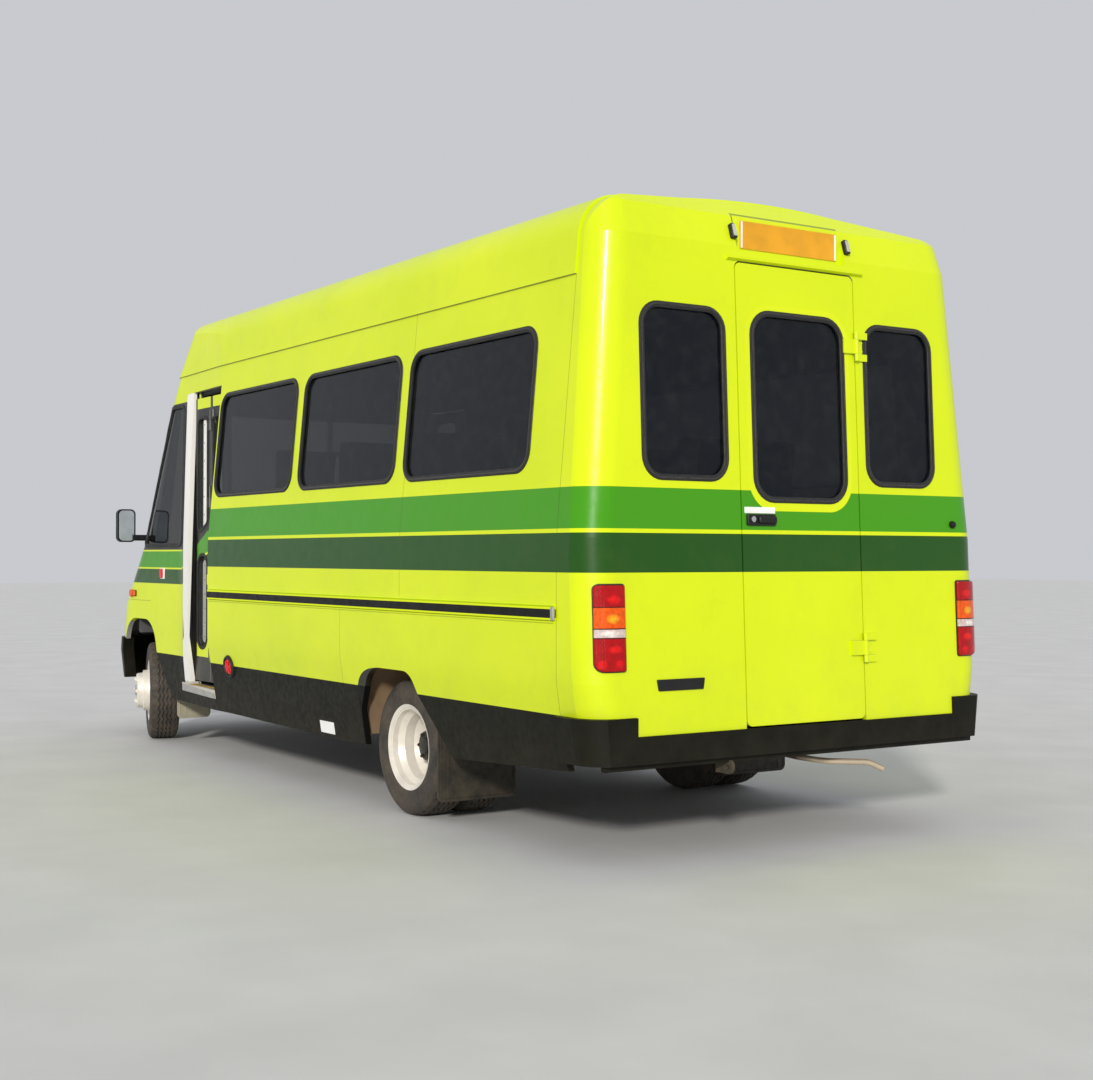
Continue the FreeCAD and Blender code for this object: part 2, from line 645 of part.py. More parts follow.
def make_floor():
    """Floor of the saloon and cab, the step well, the front wheel boxes and the cross bearers."""
    slab = box((-2895, BULKHEAD_X), (-1200, 1200), (FLOOR_TOP_Z - FLOOR_THICKNESS, FLOOR_TOP_Z))
    well = box((SALOON_FRONT_X, DOOR_FRONT_X), (STEP_INNER_Y, 1200), (0, 900))
    boxes = []
    openings = [well]
    for side in (1, -1):
        outer = box((1730, BULKHEAD_X + 10), (540, 1200), (FLOOR_TOP_Z - 20, 830))
        hole = box((1742, BULKHEAD_X + 20), (552, 1210), (FLOOR_TOP_Z - 40, 818))
        if side < 0:
            outer, hole = mirrored(outer), mirrored(hole)
        boxes.append(outer.cut(hole))
        openings.append(hole)
    openings.append(box((1735, 2400), (-300, 300), (600, 900)))
    openings.append(box((DOOR_FRONT_X, DOOR_FRONT_X + 45), (904.7, 1200), (0, 900)))
    floor = slab
    for opening in openings:
        floor = floor.cut(opening)
    bearers = []
    for x in (-2780.0, -2100.0, -650.0, 20.0, 720.0):
        bearers.append(box((x, x + 60), (-1200, 1200), (RAIL_TOP_Z, FLOOR_TOP_Z - FLOOR_THICKNESS)))
    bearers.append(box((-1430, -1370), (-500, 500), (RAIL_TOP_Z, FLOOR_TOP_Z - FLOOR_THICKNESS)))
    bearers.append(box((1400, 1460), (-1200, 904.7), (RAIL_TOP_Z, FLOOR_TOP_Z - FLOOR_THICKNESS)))
    bulkhead = box((BULKHEAD_X, BULKHEAD_X + 10), (-1200, 1200), (FLOOR_TOP_Z - 20, 1190)).cut(
        box((BULKHEAD_X - 50, BULKHEAD_X + 50), (-298, 298), (600, 1068))
    )
    x0, x1 = SALOON_FRONT_X, DOOR_FRONT_X
    treads = [
        box((x0, x1), (STEPWELL_Y - 10, 960), (STEP_Z - 12, STEP_Z)),
        box((x0, x1), (STEPWELL_Y - 10, STEPWELL_Y), (STEP_Z - 12, 560)),
        box((x0, x1), (STEP_INNER_Y - 10, STEPWELL_Y), (550, 562)),
        box((x0, x1), (STEP_INNER_Y - 10, STEP_INNER_Y), (550, FLOOR_TOP_Z)),
        box((x0 - 8, x0), (STEP_INNER_Y - 10, 960), (STEP_Z - 12, FLOOR_TOP_Z)),
        box((x1, x1 + 8), (STEP_INNER_Y - 10, 904.7), (STEP_Z - 12, FLOOR_TOP_Z)),
    ]
    inside = inner_bar.common(box((CAP_SEAM_X, SALOON_FRONT_X), (-1200, 1200), (0, 3000)))
    inside = inside.fuse(cap_inner.common(box((-2960, CAP_SEAM_X), (-1200, 1200), (500, 3000))))
    inside = inside.fuse(cab_inner.common(box((SALOON_FRONT_X, FRONT_X), (-1200, 1200), (300, 3000))))
    steps = fused(treads).common(inside)
    save("step_well", steps)
    whole = fused([floor] + boxes + bearers + [bulkhead]).common(inside)
    save("floor_pan", whole.cut(steps))


def make_entrance():
    """The pale door pillar, header board and edge strip round the folding door."""
    pillar = box((DOOR_FRONT_X, DOOR_FRONT_X + 45), (905, 966), (STEP_Z - 12, 2150))
    header = box((SALOON_FRONT_X + 0.3, DOOR_FRONT_X + 45), (880, 960), (HEADER_Z - 12, HEADER_Z + 80))
    header = header.common(cab_inner)
    pin = door_axes()[0]
    guide = box((SALOON_FRONT_X + 30, pin[0] + 8.5), (pin[1] - 8.5, pin[1] + 8.5), (2100, HEADER_Z + 2))
    header = header.cut(guide)
    cover = cab_wall.common(
        box((DOOR_FRONT_X, PILLAR_FRONT_X), (700, 1200), (STEP_Z + PANEL_GAP, HEADER_Z - PANEL_GAP))
    )
    strip = box((SALOON_FRONT_X + 4, SILL_FRONT_X), (900, 1045), SILL_Z)
    strip = strip.common(nose_form(-4)).cut(cab_inner)
    save("entrance_frame", [fused([pillar.common(cab_inner), header, cover]), strip])


def door_axes():
    """Plan places of the folding door's jamb pin, fold line and guide pin."""
    front = DOOR_FRONT_X - 6 - LEAF_PIVOT_INSET
    back = SALOON_FRONT_X + 6 + LEAF_PIVOT_INSET
    middle = LEAF_OUTER_Y - LEAF_THICKNESS / 2
    return [
        (front, middle),
        ((front + back) / 2, LEAF_OUTER_Y + LEAF_HINGE_STAND_OFF),
        (back, middle),
    ]


# Panes of a leaf, from its rear edge forwards: the tall upper one has a slanting lower edge.
LEAF_PANES = [
    [(50.0, 1370.0, 40.0), (204.0, 1300.0, 40.0), (204.0, 1995.0, 45.0), (50.0, 1995.0, 45.0)],
    [(52.0, 635.0, 68.0), (204.0, 635.0, 68.0), (204.0, 1185.0, 68.0), (52.0, 1185.0, 68.0)],
]


def make_folding_door():
    """Two leaves that fold inwards; the first turns on the front jamb, the second on the first."""
    front, fold, back = door_axes()
    y = (LEAF_OUTER_Y - LEAF_THICKNESS, LEAF_OUTER_Y)
    for name, x0, x1 in (
        ("door_leaf_front", fold[0] + 3, DOOR_FRONT_X - 6),
        ("door_leaf_rear", SALOON_FRONT_X + 6, fold[0] - 3),
    ):
        leaf = rounded_box("xz", (x0, x1), (LEAF_BOTTOM_Z, LEAF_TOP_Z), 6.0, y[0], y[1])
        panes = []
        for outline in LEAF_PANES:
            placed = [(x0 + a, b, r) for a, b, r in outline]
            leaf = leaf.cut(prism(placed, "xz", y[0] - 5, y[1] + 5))
            panes.append(prism(placed, "xz", y[0] + 12, y[0] + 18))
        pieces = [leaf]
        first = name == "door_leaf_front"
        pin = front if first else back
        foot = STEP_Z + (0.3 if first else 5)
        for low, high in ((foot, LEAF_BOTTOM_Z + 4), (LEAF_TOP_Z - 4, HEADER_Z - 8)):
            pieces.append(rod(V(pin[0], pin[1], low), V(pin[0], pin[1], high), 8.0))
        for i in range(4):
            z = 560.0 + 450.0 * i + (0 if first else 62.0)
            pieces.append(rod(V(fold[0], fold[1], z), V(fold[0], fold[1], z + 60), 5.0))
            wing = (fold[0], fold[0] + 40) if first else (fold[0] - 40, fold[0])
            pieces.append(box(wing, (LEAF_OUTER_Y - 1, LEAF_OUTER_Y + 8), (z, z + 60)))
        save(name, fused(pieces))
        save(name + "_glass", panes)


def revolved(points):
    """A ring turned about the Y axis from corners given as (along the axle, radius)."""
    wire = Part.makePolygon([V(0, y, r) for y, r in points + points[:1]])
    face = Part.Face(wire)
    turned = face.revolve(V(0, 0, 0), V(0, 1, 0), 360)
    if turned.Volume < 0:
        turned = face.revolve(V(0, 0, 0), V(0, -1, 0), 360)
    return turned


def tyre():
    """One tyre standing at the origin."""
    half = TYRE_WIDTH / 2
    return revolved([
        (-half + 12, BEAD_R),
        (-half + 6, RIM_R),
        (-half, (TYRE_R + RIM_R) / 2),
        (-half + 14, TYRE_R - 10),
        (-half + 26, TYRE_R),
        (half - 26, TYRE_R),
        (half - 14, TYRE_R - 10),
        (half, (TYRE_R + RIM_R) / 2),
        (half - 6, RIM_R),
        (half - 12, BEAD_R),
    ])


def rim(disc):
    """A steel wheel: barrel with flanges and a disc given by its outer and inner profile."""
    barrel = revolved([
        (-86, RIM_R), (-79, BEAD_R), (-55, BEAD_R - 2), (-40, 158), (25, 158), (50, BEAD_R - 2),
        (79, BEAD_R), (86, RIM_R), (80, RIM_R - 2), (74, BEAD_R - 7), (48, BEAD_R - 9), (22, 151),
        (-37, 151), (-53, BEAD_R - 9), (-74, BEAD_R - 7), (-80, RIM_R - 2),
    ])
    return barrel.fuse(revolved(disc))


def hand_holes(count, circle_r, hole_r, start, end):
    """Round holes on a circle about the Y axis."""
    holes = []
    for i in range(count):
        angle = 2 * math.pi * i / count
        at_x, at_z = circle_r * math.sin(angle), circle_r * math.cos(angle)
        holes.append(Part.makeCylinder(hole_r, end - start, V(at_x, start, at_z), V(0, 1, 0)))
    return Part.makeCompound(holes)


def placed(shape, x, y, z, turn=0.0):
    """A copy turned about the vertical through the origin, then moved."""
    copy = shape.copy()
    if turn:
        copy.rotate(V(0, 0, 0), V(0, 0, 1), turn)
    copy.translate(V(x, y, z))
    return copy


def make_wheels():
    """Front wheels with bulging discs and rear twins with deep dishes."""
    bore = STUB_R + RUNNING_CLEARANCE
    out = rim([
        (24, 154), (80, 134), (97, 131), (120, 129), (125, 113), (156, 110), (163, 103), (163, 40),
        (154, 40), (154, 102), (116, 106), (112, 122), (76, 124), (14, 154),
    ]).cut(hand_holes(8, 144.5, 8, 5, 95))
    hub = revolved([(-20, 62), (-20, bore), (118, bore), (118, 38), (158, 38), (158, 50), (60, 62)])
    cap = Part.makeCylinder(34, 34, V(0, 118, 0), V(0, 1, 0))
    front = fused([hub, out, cap])
    one = tyre()
    for side, name in ((1, "left"), (-1, "right")):
        turn = PARKED_STEER_DEG
        for label, shape in (("tyre", one), ("rim", front)):
            whole = shape if side > 0 else mirrored(shape)
            whole = placed(whole, 0, side * (FRONT_TRACK_HALF - KINGPIN_HALF), 0)
            whole = placed(whole, FRONT_AXLE_X, side * KINGPIN_HALF, TYRE_R, turn)
            save("front_" + label + "_" + name, whole)
    dish = TWIN_SPACING / 2
    dished = rim([
        (-dish, 60), (-dish, 128), (-36, 154), (-20, 154), (-90, 120), (-94, 112), (-94, 60),
    ]).cut(hand_holes(8, 112, 14, -120, -60))
    outer = placed(dished, 0, TWIN_MID + dish, TYRE_R)
    inner = placed(dished, 0, TWIN_MID - dish, TYRE_R, 180)
    core = revolved([(-60, bore), (-60, 70), (60, 70), (78, 58), (78, bore)])
    core = placed(core, 0, TWIN_MID, TYRE_R)
    lid = Part.makeCylinder(36, 14, V(0, TWIN_MID + 78, TYRE_R), V(0, 1, 0))
    metal = placed(fused([core, outer, inner, lid]), REAR_AXLE_X, 0, 0)
    tyres = [
        placed(one, REAR_AXLE_X, TWIN_MID + dish, TYRE_R),
        placed(one, REAR_AXLE_X, TWIN_MID - dish, TYRE_R),
    ]
    save("rear_rims_left", metal)
    save("rear_rims_right", mirrored(metal))
    save("rear_tyres_left", tyres)
    save("rear_tyres_right", [mirrored(shape) for shape in tyres])


def make_axles():
    """Front beam and knuckles, rear tube with its differential."""
    x, z = FRONT_AXLE_X, TYRE_R
    beam = box((x - 30, x + 30), (-600, 600), (222, 272))
    eyes = []
    for side in (1, -1):
        y = side * KINGPIN_HALF
        lug = box((x - 24, x + 24), (min(side * 590, y), max(side * 590, y)), (z - 40, z + 40))
        boss = Part.makeCylinder(24, 80, V(x, y, z - 40))
        rise = box((x - 24, x + 24), (min(side * 560, side * 610), max(side * 560, side * 610)), (222, z + 40))
        hole = Part.makeCylinder(KINGPIN_R + RUNNING_CLEARANCE, 120, V(x, y, z - 60))
        eyes.append(fused([lug, boss, rise]).cut(hole))
    save("front_axle_beam", fused([beam] + eyes))
    for side, name in ((1, "left"), (-1, "right")):
        save("knuckle_" + name, placed(knuckle(side), x, side * KINGPIN_HALF, 0, PARKED_STEER_DEG))
    tube = rod(V(REAR_AXLE_X, -TWIN_MID + 70, z), V(REAR_AXLE_X, TWIN_MID - 70, z), 48)
    spindle = rod(V(REAR_AXLE_X, -TWIN_MID - 74, z), V(REAR_AXLE_X, TWIN_MID + 74, z), STUB_R)
    pot = Part.makeCylinder(120, 150, V(REAR_AXLE_X, -75, z), V(0, 1, 0))
    nose = Part.makeCylinder(55, 190, V(REAR_AXLE_X, 0, z), V(1, 0, 0))
    shaft = rod(V(REAR_AXLE_X + 180, 0, TYRE_R), V(1247.0, 0, 398), 34)
    save("rear_axle", fused([tube, spindle, pot, nose, shaft]))


def knuckle(side):
    """Stub axle on its kingpin, straight ahead, the kingpin on the vertical through the origin."""
    reach = FRONT_TRACK_HALF - KINGPIN_HALF
    z = TYRE_R
    pin = Part.makeCylinder(KINGPIN_R, 170, V(0, 0, z - 85))
    ends = []
    for low in (z - 85, z + 45):
        ends.append(Part.makeCylinder(24, 40, V(0, 0, low)))
        ends.append(box((-22, 22), (0, 46), (low, low + 40)))
    plate = box((-30, 30), (28, 48), (z - 85, z + 85))
    stub = rod(V(0, 30, z), V(0, reach + 110, z), STUB_R)
    arm = box((-STEERING_ARM, -10), (-10, 22), (z - 78, z - 60))
    eye = Part.makeCylinder(17, 18, V(-STEERING_ARM, 0, z - 78))
    ball = Part.makeCylinder(8, 46, V(-STEERING_ARM, 0, z - 106))
    whole = fused([pin, plate, stub, arm, eye, ball] + ends)
    return whole if side > 0 else mirrored(whole)


def arm_end(side):
    """Plan place of a steering arm's end as parked."""
    angle = math.radians(PARKED_STEER_DEG)
    x = FRONT_AXLE_X - STEERING_ARM * math.cos(angle)
    y = side * KINGPIN_HALF - STEERING_ARM * math.sin(angle)
    return x, y


def make_steering():
    """Track rod between the steering arms, and the steering wheel on its column."""
    z = TYRE_R - 95
    ends = []
    for side in (1, -1):
        x, y = arm_end(side)
        eye = Part.makeCylinder(18, 22, V(x, y, z - 11))
        ends.append((eye, V(x, y, z)))
    bar = rod(ends[0][1], ends[1][1], 10)
    whole = fused([bar, ends[0][0], ends[1][0]])
    for _, middle in ends:
        whole = whole.cut(Part.makeCylinder(8.5, 60, middle - V(0, 0, 30)))
    save("track_rod", whole)
    hub, along = COLUMN_TOP, COLUMN_AXIS
    wheel = Part.makeTorus(200, 14, hub, along)
    side_dir = V(0, 1, 0)
    up_dir = along.cross(side_dir)
    spokes = [
        rod(hub - side_dir * 195, hub + side_dir * 195, 9),
        rod(hub, hub - up_dir * 195, 9),
    ]
    centre = Part.makeCylinder(42, 40, hub - along * 30, along)
    save("steering_wheel", fused([wheel, centre] + spokes))


COLUMN_AXIS = V(-0.62, 0, 0.785).normalize()
COLUMN_TOP = V(1870, -430, 1230)
DASH_GAP = 24.0


def make_cab_inside():
    """Dashboard, driver's seat and the cover over the engine."""
    profile = [
        (2110.0, 900.0, 20.0),
        (2040.0, 1120.0, 40.0),
        (2110.0, 1205.0, 40.0),
        (BULKHEAD_X, 1215.0, 0),
        (BULKHEAD_X, 900.0, 0),
    ]
    dash = prism(profile, "xz", -960, 960).cut(box((1900, 2400), (-311, 311), (600, 1081)))
    dash = dash.common(nose_form(WALL + DASH_GAP))
    column = rod(COLUMN_TOP - COLUMN_AXIS * 30.3, COLUMN_TOP - COLUMN_AXIS * 520, 24)
    save("dashboard", fused([dash, column]))
    cover = rounded_box("yz", (-310, 310), (FLOOR_TOP_Z, 1080), 40.0, 1735, BULKHEAD_X).cut(
        rounded_box("yz", (-298, 298), (FLOOR_TOP_Z - 40, 1068), 30.0, 1747, 2400)
    )
    save("engine_cover", cover)
    save("driver_seat", seat(1270.0, -655.0, -205.0, FLOOR_TOP_Z, 90.0))


def seat(x, y0, y1, floor, lower=0.0):
    """A seat facing forwards; x is the back of its cushion, lower takes height off its base."""
    base = floor - lower
    cushion = prism(
        [(x, base + 330, 20.0), (x + 440, base + 345, 40.0), (x + 450, base + 450, 40.0), (x, base + 430, 20.0)],
        "xz", y0, y1,
    )
    back = prism(
        [
            (x - 20, base + 330, 20.0), (x + 70, base + 330, 10.0), (x + 10, base + 1060, 35.0),
            (x - 95, base + 1060, 35.0),
        ],
        "xz", y0, y1,
    )
    legs = [
        box((x + 60, x + 380), (y0 + 40, y0 + 65), (floor, base + 345)),
        box((x + 60, x + 380), (y1 - 65, y1 - 40), (floor, base + 345)),
    ]
    return fused([cushion, back] + legs)


def make_saloon_seats():
    """Double seats down both sides of the gangway."""
    left = [seat(x, 230.0, 975.0, FLOOR_TOP_Z) for x in (120.0, -650.0, -1420.0, -2190.0)]
    right = [seat(x, -975.0, -230.0, FLOOR_TOP_Z) for x in (500.0, -270.0, -1040.0, -1810.0)]
    save("saloon_seats", left + right)


def make_chassis():
    """Two rails with cross members, and brackets for the bumpers and mudflaps."""
    pieces = []
    for side in (1, -1):
        y = side * RAIL_Y
        pieces.append(
            box((-2937, 2826), (y - RAIL_WIDTH / 2, y + RAIL_WIDTH / 2), (RAIL_BOTTOM_Z, RAIL_TOP_Z))
        )
    for x in (-2880.0, -1950.0, -820.0, 300.0, 1150.0, 2760.0):
        pieces.append(box((x, x + 60), (-RAIL_Y, RAIL_Y), (RAIL_BOTTOM_Z + 10, RAIL_TOP_Z - 20)))
    for plate, x in (
        ([(-2890, 445, 0), (-2890, 325, 0), (-2988, 325, 25.0), (-2988, 378, 25.0), (-2937, 385, 10.0),
          (-2937, 445, 0)], -TOW_EYE_X),
        ([(2760, 445, 0), (2760, 325, 0), (2990, 325, 22.0), (2990, 371, 22.0), (2826, 371, 0),
          (2826, 445, 0)], TOW_EYE_X),
    ):
        lug = prism(plate, "xz", RAIL_Y - TOW_EYE_LENGTH / 2, RAIL_Y + TOW_EYE_LENGTH / 2)
        eye = rod(V(x, RAIL_Y - 60, TOW_EYE_Z), V(x, RAIL_Y + 60, TOW_EYE_Z), TOW_EYE_R)
        pieces.append(lug.cut(eye))
    save("chassis_frame", fused(pieces))
    flaps = []
    rail_side = RAIL_Y + RAIL_WIDTH / 2 + PANEL_GAP
    for x, inner, outer, foot in ((-1830.0, 590.0, 970.0, 135.0), (1700.0, 690.0, 905.0, 170.0)):
        flap = rounded_box("yz", (inner, outer), (foot, 558), 20.0, x, x + 6)
        flaps += both_sides(fused([flap, box((x - 20, x + 0.5), (rail_side, outer - 30), (530, 557))]))
    save("mudflaps", flaps)


def leaf_spring(x, seat_z):
    """A sprung pack under one rail, curved from eye to eye over the axle."""
    reach = 560.0
    top = [V(x - reach, 0, RAIL_BOTTOM_Z), V(x, 0, seat_z + 36), V(x + reach, 0, RAIL_BOTTOM_Z)]
    low = [V(x + reach, 0, RAIL_BOTTOM_Z - 14), V(x, 0, seat_z), V(x - reach, 0, RAIL_BOTTOM_Z - 14)]
    edges = [
        Part.Arc(top[0], top[1], top[2]).toShape(),
        Part.LineSegment(top[2], low[0]).toShape(),
        Part.Arc(low[0], low[1], low[2]).toShape(),
        Part.LineSegment(low[2], top[0]).toShape(),
    ]
    blade = Part.Face(Part.Wire(edges)).extrude(V(0, 56, 0))
    blade.translate(V(0, RAIL_Y - 28, 0))
    return blade


def make_running_gear():
    """Springs, engine, fuel tank and exhaust."""
    springs = both_sides(leaf_spring(REAR_AXLE_X, TYRE_R + 48)) + both_sides(leaf_spring(FRONT_AXLE_X, 272))
    save("leaf_springs", springs)
    block = box((1760, 2620), (-250, 250), (345, 980))
    gearbox = box((1250, 1765), (-130, 130), (345, 555))
    feet = box((2150, 2230), (-RAIL_Y + RAIL_WIDTH / 2 + 0.3, RAIL_Y - RAIL_WIDTH / 2 - 0.3), (470, 520))
    save("engine_block", fused([block, gearbox, feet]))
    tank = rounded_box("yz", (-880, -420), (345, RAIL_TOP_Z - 0.3), 40.0, -560, 240)
    save("fuel_tank", tank)
    path = [
        V(1800, -290, 400), V(1120, -290, 400), V(1050, -250, 400), V(-600, -250, 400), V(-1150, -250, 412),
        V(-2040, -250, 405), V(-2300, -600, 390), V(-2880, -600, 375), V(-2965, -600, 345),
    ]
    pipe = [rod(path[i], path[i + 1], 22) for i in range(len(path) - 1)]
    pipe += [Part.makeSphere(22, point) for point in path[1:-1]]
    pipe.append(rod(V(1040, -250, 400), V(420, -250, 400), 70))
    save("exhaust", fused(pipe))


def make_mirrors():
    """A mirror on an arm at each front pillar."""
    head = rounded_box("yz", (1008, 1124), (1265, 1475), 32.0, 2190, 2228)
    shell = rounded_box("yz", (1022, 1110), (1280, 1460), 26.0, 2228, 2244)
    arm = rounded_box("xz", (2168, 2206), (1274, 1312), 9.0, CAB_HALF - 60, 1030)
    stem = fused([head, shell, arm])
    left = stem.cut(cab_outer)
    save("mirror_left", left)
    save("mirror_right", mirrored(left))


def make_all():
    """Writes every node."""
    make_side_panels()
    make_skirts()
    make_roof()
    make_rear_cap()
    rear_panes = make_rear_door()
    make_cab()
    film = make_fixed_glass(rear_panes)
    make_driver_door(film)
    make_bonnet()
    make_nose_fittings()
    make_rear_fittings()
    make_rub_rails()
    make_floor()
    make_entrance()
    make_folding_door()
    make_wheels()
    make_axles()
    make_steering()
    make_cab_inside()
    make_saloon_seats()
    make_chassis()
    make_running_gear()
    make_mirrors()


make_all()
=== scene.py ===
"""Looks of a coach-built minibus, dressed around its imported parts. Metres, X forward, Z up."""
import math

import bpy
import bmesh
from mathutils import Matrix, Vector
from mathutils.bvhtree import BVHTree


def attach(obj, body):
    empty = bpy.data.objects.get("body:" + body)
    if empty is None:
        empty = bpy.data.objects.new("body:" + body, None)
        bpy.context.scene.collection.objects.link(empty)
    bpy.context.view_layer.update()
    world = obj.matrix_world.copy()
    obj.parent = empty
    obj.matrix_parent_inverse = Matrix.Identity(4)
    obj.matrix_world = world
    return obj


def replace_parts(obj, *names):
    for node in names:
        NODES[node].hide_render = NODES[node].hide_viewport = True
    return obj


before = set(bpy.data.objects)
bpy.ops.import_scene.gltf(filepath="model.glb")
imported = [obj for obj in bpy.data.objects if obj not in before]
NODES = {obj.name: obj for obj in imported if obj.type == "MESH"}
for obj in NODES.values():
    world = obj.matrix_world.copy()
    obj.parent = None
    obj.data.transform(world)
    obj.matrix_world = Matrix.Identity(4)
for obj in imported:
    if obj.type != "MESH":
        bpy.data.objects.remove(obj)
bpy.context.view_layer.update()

# Places shared with the model.
TAIL_X, TAIL_RAKE = -2.967, 0.0432
CAP_SEAM_X = -2.767
BODY_HALF, WAIST_Z, GUTTER_HALF, GUTTER_Z = 1.065, 1.25, 0.973, 2.265
SKIRT_HALF, SKIRT_BOTTOM_Z, TUCK_TOP_Z = 1.007, 0.33, 0.70
WINDOWS = [(0.2495 - i * 1.1275, 0.5175, 1.516, 2.09, 0.085) for i in range(3)]
REAR_AXLE, FRONT_AXLE, TYRE_R = -1.40, 2.17, 0.31
PARK = math.radians(-16.0)
SIDES = ((1, "left"), (-1, "right"))
BACK_FLAT_HALF, BACK_FLAT_TOP_Z = 0.86, 2.38
RECESS_FRONT_X, RECESS_FLOOR_Z = -2.80, 2.385
KINGPIN, STUB_REACH, TWIN_MID, TWIN_HALF = 0.69, 0.135, 0.7725, 0.105

# The camera: its place, its turns in degrees, and its focal length in pixels of the photograph's width.
EYE, YAW_PITCH_ROLL = (-7.8176, 4.4294, 1.1807), (-33.3078, 0.5635, 0.0664)
FOCAL_PX, PHOTO_WIDTH_PX, SENSOR_MM = 1596.85, 1093.0, 36.0

# Edges of the green stripes, on the saloon and on the cab, and where they slope from one to the other.
STRIPE_EDGES = [(1.442, 1.205), (1.284, 1.105), (1.268, 1.095), (1.117, 1.005)]
SLOPE_FROM_X, SLOPE_TO_X = 0.80, 1.45

# Windows as (low, high, bottom, top, corner radius) or as corners (along, up, radius).
DOOR_WINDOW = (-0.265, 0.230, 1.395, 2.163, 0.095)
BACK_WINDOWS = [(0.374, 0.783, 1.472, 2.155, 0.085), (-0.783, -0.391, 1.472, 2.155, 0.085)]
CAB_WINDOW = [(1.45, 1.24, 0.05), (1.45, 2.09, 0.06), (1.70, 2.09, 0.06), (2.205, 1.24, 0.07)]
WINDSCREEN = [(-0.8, 1.3, 0.08), (0.8, 1.3, 0.08), (0.745, 2.085, 0.09), (-0.745, 2.085, 0.09)]

# Paint marks as ranges of X, Y or Z: seams as (X, bottom, top), the painted shadow round the rear arch, the
# painted shade in the plate's recess, the black of the cab, the painted shade line in the crease over the
# wing, the rail's strip, and the cab's side pane at its sill and its head.
SEAM_HALF, SEAMS = 0.0016, ((CAP_SEAM_X + 0.002, 0.0, 2.3), (-1.50, 1.0, 2.3), (-0.90, 0.0, 0.94))
ARCH_MIDDLE, ARCH_REACH, ARCH_POWER = (-1.31, 0.50), (0.268, 0.166), 2.6
RECESS_Y, RECESS_Z, RECESS_SHADE = (-0.29, 0.293), (2.42, 2.562), (0.009, 0.007)
CAB_BLACK_X, CAB_BLACK_Z = (1.405, 2.50), (1.215, 2.106)
CREASE_SHADE_X, CREASE_SHADE_Z = (2.02, 2.62), (0.891, 0.895)
RAIL_STRIP = (0.943, 0.977)
SIDE_PANE_Z, SIDE_PANE_FRONT, SIDE_PANE_REAR = (1.27, 2.07), (1.97, 1.65), (1.72, 1.545)
BORDER_WIDE = 0.034

# The entrance: where its white pillar starts, its sill and its header board; the black of the leaves over
# their slanting shoulder, as X from a leaf's rear edge and the Z there, and their kick panel.
FRAME_PILLAR_X, FRAME_SILL_Z, FRAME_HEADER_Z = 1.27, 0.43, 2.152
LEAF_SHOULDER_X, LEAF_SHOULDER_Z, LEAF_BLACK_TOP_Z, LEAF_KICK_Z = (0.05, 0.23), (1.325, 1.235), 2.048, 0.583

LEAF_REAR_EDGES = {"door_leaf_front": 1.048, "door_leaf_rear": 0.806}
LEAF_UPPER = [(0.050, 1.370, 0.04), (0.204, 1.300, 0.04), (0.204, 1.995, 0.045), (0.050, 1.995, 0.045)]
LEAF_LOWER = [(0.052, 0.635, 0.068), (0.204, 0.635, 0.068), (0.204, 1.185, 0.068), (0.052, 1.185, 0.068)]


def side_y(z):
    """Half width of the saloon's outer face at a height."""
    if z < TUCK_TOP_Z:
        share = (z - SKIRT_BOTTOM_Z) / (TUCK_TOP_Z - SKIRT_BOTTOM_Z)
        return SKIRT_HALF + share * (BODY_HALF - SKIRT_HALF)
    if z < WAIST_Z:
        return BODY_HALF
    share = (z - WAIST_Z) / (GUTTER_Z - WAIST_Z)
    return BODY_HALF + share * (GUTTER_HALF - BODY_HALF)


def tail_x(z):
    """Place of the raked back face at a height."""
    return TAIL_X + TAIL_RAKE * (z - 1.0)


# Materials.
def srgb(r, g, b):
    """A linear colour from one written in screen values of 0 to 255."""
    out = []
    for c in (r, g, b):
        c /= 255.0
        out.append(c / 12.92 if c <= 0.04045 else ((c + 0.055) / 1.055) ** 2.4)
    return (out[0], out[1], out[2], 1.0)


def shaded(colour, factor):
    """The colour made darker or lighter."""
    return tuple(min(1.0, c * factor) for c in colour[:3]) + (1.0,)


